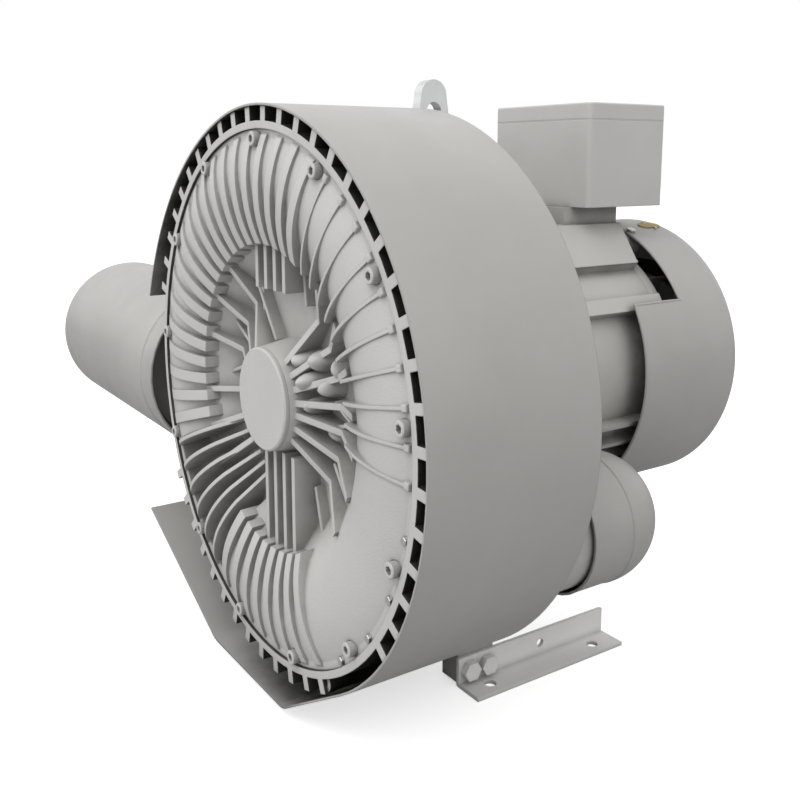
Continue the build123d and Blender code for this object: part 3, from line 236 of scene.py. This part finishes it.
def metal(name, colour, rough, stretch=(1.0, 1.0, 1.0), grain=400.0):
    """Turned or rolled metal with fine drawn lines, and painted shade darkening its corners."""
    tree = Tree(name)
    tree.surface.inputs["Metallic"].default_value = 0.85
    lines = tree.noise(grain, 3.0, 0.6, tree.stretched(stretch))
    blot = tree.ramp(tree.noise(25.0, 4.0), 0.3, 0.7)
    base = tree.mix(blot, darker(colour, 0.82), colour)
    # Painted shade: occlusion darkens the metal's corners
    base = tree.mix(tree.sum(tree.corner_shade(0.01), 0.7, "MULTIPLY"), base, darker(colour, 0.25))
    shine = tree.ramp(lines, 0.3, 0.7, rough - 0.08, rough + 0.1)
    return tree.finish(base, shine, tree.bump(lines, 0.00008, 0.7, tree.soft_normal(0.0006)))


def matte(name, colour, grain, grain_height, rough=0.75):
    """Rubber, foam, plastic or varnish with a grainy skin."""
    tree = Tree(name)
    grit = tree.noise(grain, 4.0, 0.65)
    base = tree.mix(tree.ramp(grit, 0.3, 0.7), darker(colour, 0.7), darker(colour, 1.3))
    shine = tree.ramp(tree.noise(30.0), 0.3, 0.7, rough - 0.08, rough + 0.08)
    return tree.finish(base, shine, tree.bump(grit, grain_height))


materials = {
    "casing_paint": paint("casing_paint", PAINT, grain=900.0, grain_height=0.0002, rough=0.42, edge=0.35),
    # Painted shade: the longer occlusion reach darkens the cover's web and grooves
    "cast_paint": paint(
        "cast_paint", CAST, grain=500.0, grain_height=0.0005, rough=0.45, edge=0.5, shade_reach=0.05,
        dirt_and_shade_share=0.65
    ),
    # Painted shade: a wide occlusion reach and near-black colour darken the middle housing's slots and
    # recesses
    "shade_darkened_cast": paint(
        "shade_darkened_cast", CAST, grain=500.0, grain_height=0.0005, rough=0.5, edge=0.5, shade_reach=0.09,
        dirt_and_shade_share=1.6, dirt_and_shade_colour=SHADE_BLACK
    ),
    # Painted shade: the long occlusion reach darkens the motor frame in its recess behind the shroud
    "motor_paint": paint(
        "motor_paint", PAINT, grain=600.0, grain_height=0.0004, rough=0.45, edge=0.4, shade_reach=0.09,
        dirt_and_shade_share=0.85
    ),
    "shroud_paint": paint("shroud_paint", SHEET, grain=1200.0, grain_height=0.00012, rough=0.38, edge=0.35),
    # Painted shade: the shroud's inside darkened by a wide occlusion reach and near-black colour
    "shaded_shroud_sheet": paint(
        "shaded_shroud_sheet", SHEET, grain=1200.0, grain_height=0.00012, rough=0.38, edge=0.35, shade_reach=0.06,
        dirt_and_shade_share=1.3, dirt_and_shade_colour=SHADE_BLACK
    ),
    "box_paint": paint("box_paint", BOX_PAINT, grain=1200.0, grain_height=0.00012, rough=0.38, edge=0.35),
    "rail_steel": paint(
        "rail_steel", RAIL, grain=700.0, grain_height=0.0002, rough=0.35, edge=0.7, shade_reach=0.01,
        dirt_and_shade_share=0.5
    ),
    "cast_aluminium": metal("cast_aluminium", ALUMINIUM, rough=0.45, grain=250.0),
    "shaft_steel": metal("shaft_steel", BARE_STEEL, rough=0.3, stretch=TURNED),
    "bearing_steel": metal("bearing_steel", BEARING_STEEL, rough=0.22, stretch=TURNED),
    "core_steel": metal("core_steel", DARK_STEEL, rough=0.5, stretch=STACKED),
    "copper": matte("copper", COPPER, grain=300.0, grain_height=0.0004, rough=0.4),
    "seal_rubber": matte("seal_rubber", RUBBER, grain=600.0, grain_height=0.0001),
    "foam": matte("foam", FOAM, grain=250.0, grain_height=0.0015, rough=0.9),
    "zinc_screws": metal("zinc_screws", ZINC, rough=0.35, grain=700.0),
    "eye_steel": metal("eye_steel", EYE_STEEL, rough=0.4, grain=500.0),
    "black_plastic": matte("black_plastic", PLASTIC, grain=800.0, grain_height=0.0001, rough=0.5),
    "yellow_plate": matte("yellow_plate", YELLOW, grain=900.0, grain_height=0.0001, rough=0.5),
}
LOOK_OF = {
    "front_cover": "cast_paint",
    "hub_cap": "cast_paint",
    "middle_housing": "shade_darkened_cast",
    "motor_frame": "motor_paint",
    "foot_bolts": "rail_steel",
    "box_gasket": "box_paint",
    "shroud": "shaded_shroud_sheet",
}

slot_of = {part["node"]: part["material_slot"] for part in frame["record"]["subparts"]}
for name, node in nodes.items():
    node.data.materials.clear()
    node.data.materials.append(materials[LOOK_OF.get(name, slot_of[name])])


# New pieces. The shaft runs along Y through the middle of the hub cap.
HUB_LOW, HUB_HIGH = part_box("hub_cap")
SHAFT_HEIGHT = (HUB_LOW[2] + HUB_HIGH[2]) / 2
SHROUD_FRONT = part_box("shroud")[0][1]
RING_POINTS = 36
LUMP_LEVELS = 6


def at_clock(radius, angle, depth):
    """Place at a radius and clockwise angle round the shaft, and a depth behind the shroud's edge."""
    turn = math.radians(angle)
    return Vector((
        radius * math.sin(turn), SHROUD_FRONT + depth, SHAFT_HEIGHT + radius * math.cos(turn)
    ))


def clock_frame(radius, angle, depth):
    """Matrix whose x points outwards at a clock angle, y backwards and z to the left of x."""
    turn = math.radians(angle)
    outwards = Vector((math.sin(turn), 0.0, math.cos(turn)))
    backwards = Vector((0.0, 1.0, 0.0))
    matrix = Matrix((outwards, backwards, outwards.cross(backwards))).transposed().to_4x4()
    matrix.translation = at_clock(radius, angle, depth)
    return matrix


def facing(place, direction):
    """Matrix at a place whose z points along a direction."""
    matrix = Vector(direction).to_track_quat("Z", "Y").to_matrix().to_4x4()
    matrix.translation = place
    return matrix


class Shape:
    """Collects points and faces of one piece."""

    def __init__(self):
        self.points = []
        self.faces = []

    def stack(self, matrix, loops, closed=True):
        """Skin over loops of equal length; each is a list of (x, y, z) in the matrix's own frame."""
        start = len(self.points)
        count = len(loops[0])
        for loop in loops:
            self.points.extend(matrix @ Vector(point) for point in loop)
        for level in range(len(loops) - 1):
            low = start + level * count
            high = low + count
            for index in range(count):
                following = (index + 1) % count
                self.faces.append((low + index, low + following, high + following, high + index))
        if closed:
            self.faces.append(tuple(start + index for index in reversed(range(count))))
            top = start + (len(loops) - 1) * count
            self.faces.append(tuple(top + index for index in range(count)))

    def object(self, name, material, body="frame", smooth=40.0, bevel=0.0, stands_for=()):
        """Makes the piece, gives it its finish and lets it ride on a body."""
        mesh = bpy.data.meshes.new(name)
        mesh.from_pydata([tuple(point) for point in self.points], [], self.faces)
        mesh.materials.append(materials[material])
        mesh.shade_smooth()
        mesh.set_sharp_from_angle(angle=math.radians(smooth))
        thing = bpy.data.objects.new(name, mesh)
        scene.collection.objects.link(thing)
        if bevel:
            rounding = thing.modifiers.new("rounding", "BEVEL")
            rounding.width = bevel
            rounding.segments = 3
            rounding.limit_method = "ANGLE"
        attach(thing, body)
        for node in stands_for:
            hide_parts(node)
        return thing


def ring(radius, height, sides=0, grips=0, grip_depth=0.0):
    """Loop at a height: a circle, a polygon of that inner radius, or a circle with grip ridges."""
    loop = []
    for index in range(RING_POINTS):
        turn = 2 * math.pi * index / RING_POINTS
        reach = radius
        if sides:
            step = 2 * math.pi / sides
            reach = radius / math.cos((turn + step / 2) % step - step / 2)
        if grips:
            reach += grip_depth * (0.5 + 0.5 * math.cos(grips * turn))
        loop.append((reach * math.cos(turn), reach * math.sin(turn), height))
    return loop


def socket_screw(shape, place, direction, head, height, shank, length):
    """Cap screw with a chamfered head and a hexagon socket; place is the head's seat."""
    edge = 0.12 * head
    key = 0.48 * head
    shape.stack(facing(place, direction), [
        ring(shank, -length), ring(shank, 0.0), ring(head, 0.0), ring(head, height - edge),
        ring(head - edge, height), ring(key + 0.3 * edge, height, sides=6),
        ring(key, height - 0.3 * edge, sides=6), ring(key, 0.45 * height, sides=6),
    ])


def hexagon_screw(shape, place, direction, head, height, shank, length):
    """Screw with a washer and a chamfered hexagon head; place is the washer's seat."""
    washer = 0.18 * height
    shape.stack(facing(place, direction), [
        ring(shank, -length), ring(shank, 0.0), ring(1.12 * head, 0.0), ring(1.12 * head, washer),
        ring(0.9 * head, washer, sides=6), ring(0.9 * head, 0.85 * height, sides=6),
        ring(0.84 * head, height),
    ])


def slab(shape, matrix, length, width, low, high, draft=0.0):
    """Bar along the matrix's x, from its origin; low and high are along its y."""
    half = width / 2
    shape.stack(matrix, [
        [(0.0, low, -half), (length, low, -half), (length, low, half), (0.0, low, half)],
        [(draft, high, -half + draft), (length - draft, high, -half + draft),
         (length - draft, high, half - draft), (draft, high, half - draft)],
    ])


def bead(shape, place, direction, radius, thickness, seed):
    """Weld bead: a ring with scales that are never quite alike."""
    dice = random.Random(seed)
    matrix = facing(place, direction)
    count = 180
    around = 8
    sizes = [
        thickness * (0.85 + 0.15 * math.cos(index * 1.3) + dice.uniform(-0.08, 0.08))
        for index in range(count)
    ]
    rows = []
    for step in range(around):
        angle = 2 * math.pi * step / around
        rows.append([
            (
                (radius + sizes[index] * math.cos(angle)) * math.cos(2 * math.pi * index / count),
                (radius + sizes[index] * math.cos(angle)) * math.sin(2 * math.pi * index / count),
                sizes[index] * math.sin(angle),
            )
            for index in range(count)
        ])
    shape.stack(matrix, rows + rows[:1], closed=False)


def tube(shape, path, radius, sides=8):
    """Round bar that follows a closed path of points."""
    count = len(path)
    rows = []
    for index, point in enumerate(path):
        along = (path[(index + 1) % count] - path[index - 1]).normalized()
        outwards = Vector((point.x, 0.0, point.z - SHAFT_HEIGHT)).normalized()
        across = along.cross(outwards).normalized()
        upright = across.cross(along)
        rows.append([
            point
            + across * radius * math.cos(2 * math.pi * side / sides)
            + upright * radius * math.sin(2 * math.pi * side / sides)
            for side in range(sides)
        ])
    loops = [[row[side] for row in rows] for side in range(sides)]
    shape.stack(Matrix(), loops + loops[:1], closed=False)


def lump(shape, matrix, sizes, seed):
    """Rounded cast lump with an uneven skin; sizes are its half lengths along the matrix's axes."""
    dice = random.Random(seed)
    phases = [dice.uniform(0.0, 6.28) for _ in range(2)]
    bulge = []
    for index in range(RING_POINTS):
        turn = 2 * math.pi * index / RING_POINTS
        bulge.append(1.0 + 0.12 * math.cos(2 * turn + phases[0]) + 0.08 * math.cos(3 * turn + phases[1]))
    loops = []
    for level in range(LUMP_LEVELS + 1):
        rise = math.sin(math.pi / 2 * level / LUMP_LEVELS)
        spread = math.sqrt(max(1.0 - rise * rise, 0.0)) * 0.85 + 0.15 * (level == 0)
        loops.append([
            (
                sizes[0] * spread * bulge[index] * math.cos(2 * math.pi * index / RING_POINTS),
                sizes[1] * rise,
                sizes[2] * spread * bulge[index] * math.sin(2 * math.pi * index / RING_POINTS),
            )
            for index in range(RING_POINTS)
        ])
    shape.stack(matrix, loops)


# Depth of the cover's rim behind the shroud's edge, and the casing screws that sit on it
RIM_DEPTH = 0.005
FORWARDS = (0.0, -1.0, 0.0)
UPWARDS = (0.0, 0.0, 1.0)
SCREW_COUNT = 13
SCREW_CIRCLE = 0.2345
SCREW_HEAD = 0.0065
SCREW_HEAD_HEIGHT = 0.008
SCREW_SHANK = 0.004


def casing_screws():
    screws = Shape()
    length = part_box("casing_bolts")[1][1] - SHROUD_FRONT - RIM_DEPTH
    for index in range(SCREW_COUNT):
        place = at_clock(SCREW_CIRCLE, 360.0 * index / SCREW_COUNT, RIM_DEPTH)
        socket_screw(screws, place, FORWARDS, SCREW_HEAD, SCREW_HEAD_HEIGHT, SCREW_SHANK, length)
    screws.object("casing_socket_screws", "cast_paint", stands_for=("casing_bolts",))


# Sunk screws of the terminal box's lid
LID_HEAD = 0.005
LID_HEAD_HEIGHT = 0.003
LID_SHANK = 0.0025


def lid_screws():
    low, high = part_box("lid_screws")
    seat = high[2] - LID_HEAD_HEIGHT
    screws = Shape()
    for x in (low[0] + LID_HEAD, high[0] - LID_HEAD):
        for y in (low[1] + LID_HEAD, high[1] - LID_HEAD):
            socket_screw(
                screws, (x, y, seat), UPWARDS, LID_HEAD, LID_HEAD_HEIGHT, LID_SHANK, seat - low[2]
            )
    screws.object("lid_socket_screws", "zinc_screws", stands_for=("lid_screws",))


# Silencers. Distances along a port count from its mouth; the lip is the front edge of the collar.
FLANGE = 0.012
PORTS = {
    "inlet": {
        "direction": (-1.0, 0.0, 0.0), "circle": 0.059, "neck": 0.046, "neck_length": 0.030,
        "radius": 0.0996, "bend": 0.359, "lip": 0.004,
    },
    "outlet": {
        "direction": (0.0, 1.0, 0.0), "circle": 0.046, "neck": 0.036, "neck_length": 0.026,
        "radius": 0.062, "bend": 0.038, "lip": -0.012,
    },
}
PORT_HEAD = 0.0078
PORT_HEAD_HEIGHT = 0.0064
PORT_SHANK = 0.005
PORT_SHANK_LENGTH = 0.023
COLLAR_SHEET = 0.0015
COLLAR_OVERLAP = 0.0085
COLLAR_INSET = 0.0008
COLLAR_HEM = 0.0006
COLLAR_EDGE = 0.0008
NECK_WELD = 0.0026
END_WELD = 0.0014


def port_mouth(name):
    """Middle of a silencer's face against the casing."""
    low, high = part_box(f"{name}_silencer")
    mouth = (Vector(low) + Vector(high)) / 2
    for axis, step in enumerate(PORTS[name]["direction"]):
        if step:
            mouth[axis] = low[axis] if step > 0 else high[axis]
    return mouth


def port_screws(name, mouth, direction, circle):
    """Four hexagon screws with washers round a port's flange."""
    side = Vector(UPWARDS)
    across = direction.cross(side)
    seat = mouth + direction * FLANGE
    screws = Shape()
    for index in range(4):
        turn = math.radians(45 + 90 * index)
        place = seat + circle * (math.cos(turn) * side + math.sin(turn) * across)
        hexagon_screw(
            screws, place, direction, PORT_HEAD, PORT_HEAD_HEIGHT, PORT_SHANK, PORT_SHANK_LENGTH
        )
    screws.object(f"{name}_flange_screws", "zinc_screws", stands_for=(f"{name}_bolts",))


def silencer_collar(name, place, radius, neck_length, lip):
    """Sheet collar that closes the gap to the casing, from the lip onto the vessel's bevel."""
    outer = radius - COLLAR_INSET
    inner = outer - COLLAR_SHEET
    back = neck_length + COLLAR_OVERLAP
    hem = lip + COLLAR_SHEET
    collar = Shape()
    collar.stack(place, [
        ring(inner, back), ring(outer, back), ring(outer, hem),
        ring(outer + COLLAR_HEM / 2, lip + COLLAR_EDGE), ring(outer, lip),
        ring(inner - COLLAR_HEM, lip), ring(inner - COLLAR_HEM, hem), ring(inner, hem), ring(inner, back),
    ], closed=False)
    collar.object(f"{name}_collar", "shroud_paint")


def silencer_welds(name, mouth, direction, neck, neck_length, radius, bend):
    """Weld beads at both ends of the neck, and round the start of the rounded end."""
    necks = Shape()
    bead(necks, mouth + direction * (FLANGE + 0.0005), direction, neck, NECK_WELD, 3)
    bead(necks, mouth + direction * (neck_length - 0.0005), direction, neck, NECK_WELD, 5)
    necks.object(f"{name}_neck_welds", "shroud_paint")
    seam = Shape()
    bead(seam, mouth + direction * bend, direction, radius - 0.0017, END_WELD, 7)
    seam.object(f"{name}_end_seam", "shroud_paint")


def ports():
    for name, port in PORTS.items():
        mouth = port_mouth(name)
        direction = Vector(port["direction"])
        port_screws(name, mouth, direction, port["circle"])
        silencer_collar(
            name, facing(mouth, direction), port["radius"], port["neck_length"], port["lip"]
        )
        silencer_welds(
            name, mouth, direction, port["neck"], port["neck_length"], port["radius"], port["bend"]
        )


# Cable glands: radii of the thread, the hexagon, the ribbed nut and its open end
GLAND_THREAD = 0.0118
GLAND_HEXAGON = 0.0146
GLAND_HEXAGON_HEIGHT = 0.0072
GLAND_CORNER = 0.017
GLAND_NUT = 0.0132
GLAND_TIP = 0.0095
GLAND_BORE = 0.0086
GLAND_GRIPS = 12
GRIP_DEPTH = 0.0008


def cable_glands():
    """Hexagon body, ribbed dome nut and a rubber ring in each entry."""
    low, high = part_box("cable_glands")
    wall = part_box("terminal_box")[0][0]
    height = (low[2] + high[2]) / 2
    reach = wall - low[0]
    half = GLAND_CORNER * math.cos(math.radians(30))
    glands = Shape()
    seals = Shape()
    for y in (low[1] + half, high[1] - half):
        place = facing(Vector((wall, y, height)), (-1.0, 0.0, 0.0))
        glands.stack(place, [
            ring(GLAND_THREAD, -0.008), ring(GLAND_THREAD, 0.0), ring(GLAND_HEXAGON, 0.0, sides=6),
            ring(GLAND_HEXAGON, GLAND_HEXAGON_HEIGHT, sides=6), ring(0.0136, 0.008), ring(0.0128, 0.0082),
            ring(GLAND_NUT, 0.009, grips=GLAND_GRIPS, grip_depth=GRIP_DEPTH),
            ring(0.0122, reach - 0.004, grips=GLAND_GRIPS, grip_depth=GRIP_DEPTH),
            ring(0.0108, reach - 0.0012), ring(GLAND_TIP, reach), ring(0.0088, reach),
            ring(GLAND_BORE, reach - 0.003), ring(GLAND_BORE, -0.004),
        ])
        seals.stack(place, [
            ring(0.0085, reach - 0.006), ring(0.0085, reach - 0.003), ring(0.0070, reach - 0.0022),
            ring(0.0055, reach - 0.003), ring(0.0050, reach - 0.006),
        ])
    glands.object("ribbed_cable_glands", "black_plastic", stands_for=("cable_glands",))
    seals.object("gland_seal_rings", "seal_rubber")


# Cowl: its front edge steps back over the top, and its end wall has one ring of air slots
COWL_SHEET = 0.002
COWL_STEP = 0.066
COWL_STEP_ANGLE = 60
HEM = 0.0017
SLOT_INNER = 0.090
SCREEN_WIRE = 0.0009
SCREEN_PITCH = 0.0016
SCREEN_RINGS = 10


def cowl_hem():
    """Rolled hem along the stepped front edge of the cowl."""
    low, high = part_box("fan_cowl")
    radius = high[0] - COWL_SHEET / 2
    side_depth = low[1] - SHROUD_FRONT
    top_depth = side_depth + COWL_STEP
    angle = COWL_STEP_ANGLE
    path = [at_clock(radius, turn, top_depth) for turn in range(-angle, angle + 1, 4)]
    path += [at_clock(radius, angle, top_depth - COWL_STEP * share / 6) for share in range(1, 6)]
    path += [at_clock(radius, turn, side_depth) for turn in range(angle, 361 - angle, 4)]
    path += [at_clock(radius, -angle, side_depth + COWL_STEP * share / 6) for share in range(1, 6)]
    hem = Shape()
    tube(hem, path, HEM)
    hem.object("cowl_hem", "shroud_paint")


def dust_screen():
    """Fine wire rings behind the air slots in the cowl's end."""
    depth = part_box("fan_cowl")[1][1] - SHROUD_FRONT - COWL_SHEET - SCREEN_WIRE
    screen = Shape()
    for index in range(SCREEN_RINGS):
        radius = SLOT_INNER - 0.0035 + SCREEN_PITCH * index
        circle = [at_clock(radius, angle, depth) for angle in range(0, 360, 6)]
        tube(screen, circle, SCREEN_WIRE, 6)
    screen.object("cowl_dust_screen", "black_plastic")


def round_eye():
    """Rounds the forged edges of the lifting eye."""
    rounding = nodes["lifting_eye"].modifiers.new("rounding", "BEVEL")
    rounding.width = 0.0012
    rounding.segments = 3
    rounding.limit_method = "ANGLE"


# Cast details of the front cover; the thin ribs and the smooth stretch lie as in the casting
WEB_DEPTH = 0.040
RIB_PITCH = 360.0 / 52
THIN_RIBS = range(4, 14)
PAD_RADIUS = 0.2315
RIM_SCREW_RADIUS = 0.2385
RIM_SCREW_ANGLES = (104.0, 118.0, 131.0, 145.0)
BRANCH_WIDTH = 0.0055
# Radius and clock angle of the inner end, length, turn from the radius, and height
BRANCHES = (
    (0.052, -24.0, 0.072, -12.0, 0.014), (0.088, -34.0, 0.058, 26.0, 0.012),
    (0.088, -38.0, 0.056, -24.0, 0.012), (0.052, -70.0, 0.082, 8.0, 0.012),
    (0.092, -82.0, 0.052, -28.0, 0.012), (0.080, 60.0, 0.052, -30.0, 0.014),
    (0.088, 82.0, 0.048, 32.0, 0.014), (0.078, 100.0, 0.056, -26.0, 0.012),
    (0.092, 118.0, 0.046, 26.0, 0.012), (0.088, 148.0, 0.050, 16.0, 0.012),
    (0.075, -112.0, 0.056, -24.0, 0.012), (0.094, 22.0, 0.050, -30.0, 0.012),
)
# Radius and clock angle of the middle, half length, height and half width
LUMPS = (
    (0.060, 46.0, 0.011, 0.030, 0.014), (0.063, 66.0, 0.013, 0.034, 0.012),
    (0.080, 56.0, 0.012, 0.026, 0.014), (0.083, 74.0, 0.013, 0.024, 0.011),
    (0.060, 86.0, 0.009, 0.028, 0.011), (0.101, 66.0, 0.009, 0.018, 0.012),
    (0.082, 102.0, 0.012, 0.014, 0.010), (0.074, -58.0, 0.010, 0.013, 0.012),
    (0.062, 214.0, 0.012, 0.020, 0.010), (0.086, 170.0, 0.009, 0.013, 0.010),
)


def cover_pads():
    """Small pads at the outer ends of the thin ribs, and low hexagon screws on the smooth stretch."""
    pads = Shape()
    for index in THIN_RIBS:
        place = clock_frame(PAD_RADIUS, RIB_PITCH * (index + 0.5), RIM_DEPTH)
        slab(pads, place, length=0.0085, width=0.008, low=0.0015, high=-0.0035, draft=0.0012)
    pads.object("cover_rib_pads", "cast_paint", bevel=0.0008)
    screws = Shape()
    for angle in RIM_SCREW_ANGLES:
        place = at_clock(RIM_SCREW_RADIUS, angle, RIM_DEPTH)
        hexagon_screw(screws, place, FORWARDS, head=0.0036, height=0.003, shank=0.002, length=0.012)
    screws.object("cover_rim_screws", "zinc_screws")


def cover_web_ribs():
    """Branching ribs in the web of the cover, left of the hub, and short ones on its right."""
    ribs = Shape()
    for radius, angle, length, skew, rise in BRANCHES:
        matrix = clock_frame(radius, angle, WEB_DEPTH + 0.002)
        matrix = matrix @ Matrix.Rotation(math.radians(skew), 4, "Y")
        slab(ribs, matrix, length, BRANCH_WIDTH, low=0.002, high=-rise, draft=0.0008)
    ribs.object("cover_branch_ribs", "cast_paint", bevel=0.0012)


def cover_lumps():
    """Uneven cast lumps beside the hub."""
    lumps = Shape()
    for seed, (radius, angle, long, rise, wide) in enumerate(LUMPS):
        matrix = clock_frame(radius, angle, WEB_DEPTH + 0.001) @ Matrix.Diagonal((1.0, -1.0, -1.0, 1.0))
        lump(lumps, matrix, (long, rise, wide), seed)
    lumps.object("cover_cast_lumps", "cast_paint")


RIVET = 0.0015
RIVET_SPREAD = 0.0105
PLATE_SKIN = 0.0004


def plate_rivets():
    """Two small domed rivets that hold the blank plate."""
    low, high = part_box("blank_plate")
    middle = (Vector(low) + Vector(high)) / 2
    tilt = math.atan2(middle.x, middle.z - SHAFT_HEIGHT)
    outwards = Vector((math.sin(tilt), 0.0, math.cos(tilt)))
    across = Vector((math.cos(tilt), 0.0, -math.sin(tilt)))
    seat = math.hypot(middle.x, middle.z - SHAFT_HEIGHT) + PLATE_SKIN
    shaft = Vector((0.0, middle.y, SHAFT_HEIGHT))
    rivets = Shape()
    for side in (-1, 1):
        place = shaft + outwards * seat + across * side * RIVET_SPREAD
        rivets.stack(facing(place, outwards), [
            ring(RIVET, -0.0004), ring(RIVET, 0.0003), ring(0.8 * RIVET, 0.0008), ring(0.4 * RIVET, 0.0011),
        ])
    rivets.object("plate_rivets", "zinc_screws")


casing_screws()
lid_screws()
ports()
cable_glands()
cowl_hem()
dust_screen()
round_eye()
cover_pads()
cover_web_ribs()
cover_lumps()
plate_rivets()


# Lights: place, edge length and power
AIM = (0.0, 0.0, 0.3)
LIGHTS = {
    "key_light": ((0.4, -1.5, 2.8), 2.2, 40.0),
    "side_light": ((2.5, 0.3, 2.2), 2.0, 16.0),
    "left_light": ((-2.4, -1.4, 1.8), 2.0, 5.0),
    "front_light": ((-0.3, -2.6, 0.8), 2.0, 11.0),
}


def flat_light(name, place, size, power):
    """Square lamp that shines at the middle of the part."""
    lamp = bpy.data.lights.new(name, "AREA")
    lamp.size = size
    lamp.energy = power
    thing = bpy.data.objects.new(name, lamp)
    thing.location = place
    thing.rotation_euler = (Vector(AIM) - Vector(place)).to_track_quat("-Z", "Y").to_euler()
    scene.collection.objects.link(thing)


for name, light in LIGHTS.items():
    flat_light(name, *light)


def make_world():
    """Soft white light all round; white where the camera, glass or polished metal sees it."""
    world = bpy.data.worlds.new("studio")
    world.use_nodes = True
    tree = world.node_tree
    tree.nodes.clear()
    path = tree.nodes.new("ShaderNodeLightPath")
    seen = tree.nodes.new("ShaderNodeMath")
    seen.operation = "MAXIMUM"
    seen_through = tree.nodes.new("ShaderNodeMath")
    seen_through.operation = "MAXIMUM"
    strength = tree.nodes.new("ShaderNodeMapRange")
    strength.inputs["To Min"].default_value = WORLD_LIGHT
    strength.inputs["To Max"].default_value = WORLD_SEEN
    light = tree.nodes.new("ShaderNodeBackground")
    light.inputs["Color"].default_value = (1.0, 1.0, 1.0, 1.0)
    output = tree.nodes.new("ShaderNodeOutputWorld")
    tree.links.new(path.outputs["Is Camera Ray"], seen.inputs[0])
    tree.links.new(path.outputs["Is Glossy Ray"], seen.inputs[1])
    tree.links.new(seen.outputs["Value"], seen_through.inputs[0])
    tree.links.new(path.outputs["Is Transmission Ray"], seen_through.inputs[1])
    tree.links.new(seen_through.outputs["Value"], strength.inputs["Value"])
    tree.links.new(strength.outputs["Result"], light.inputs["Strength"])
    tree.links.new(light.outputs["Background"], output.inputs["Surface"])
    scene.world = world


make_world()


def make_floor():
    """Wide floor that keeps the object's shadow. Seen directly it is lifted to white, and the light
    that it throws back up at the object stays low."""
    corners = [(x * FLOOR_REACH, y * FLOOR_REACH, 0) for x, y in ((-1, -1), (1, -1), (1, 1), (-1, 1))]
    mesh = bpy.data.meshes.new("floor")
    mesh.from_pydata(corners, [], [(0, 1, 2, 3)])
    floor = bpy.data.objects.new("floor", mesh)
    scene.collection.objects.link(floor)
    tree = Tree("floor_white")
    seen = tree.add("ShaderNodeLightPath").outputs["Is Camera Ray"]
    tree.link(tree.mix(seen, FLOOR_BOUNCE, FLOOR_SEEN), tree.surface.inputs["Base Color"])
    tree.surface.inputs["Emission Color"].default_value = (1.0, 1.0, 1.0, 1.0)
    tree.link(tree.sum(seen, FLOOR_LIFT, "MULTIPLY"), tree.surface.inputs["Emission Strength"])
    tree.surface.inputs["Roughness"].default_value = 1.0
    tree.surface.inputs["Specular IOR Level"].default_value = 0.0
    mesh.materials.append(tree.material)
    floor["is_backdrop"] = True


make_floor()


def make_camera():
    data = bpy.data.cameras.new("camera")
    data.lens = CAMERA_LENS
    data.sensor_width = SENSOR
    data.shift_y = FRAME_SHIFT
    camera = bpy.data.objects.new("camera", data)
    camera.location = CAMERA_PLACE
    camera.rotation_euler = (
        math.radians(90 - CAMERA_DROP), 0.0, math.radians(CAMERA_YAW)
    )
    scene.collection.objects.link(camera)
    scene.camera = camera


make_camera()
scene.view_settings.view_transform = "Standard"

for name, corners in (("cad", cad_box), ("visual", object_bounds())):
    print(name, [list(corner) for corner in corners])
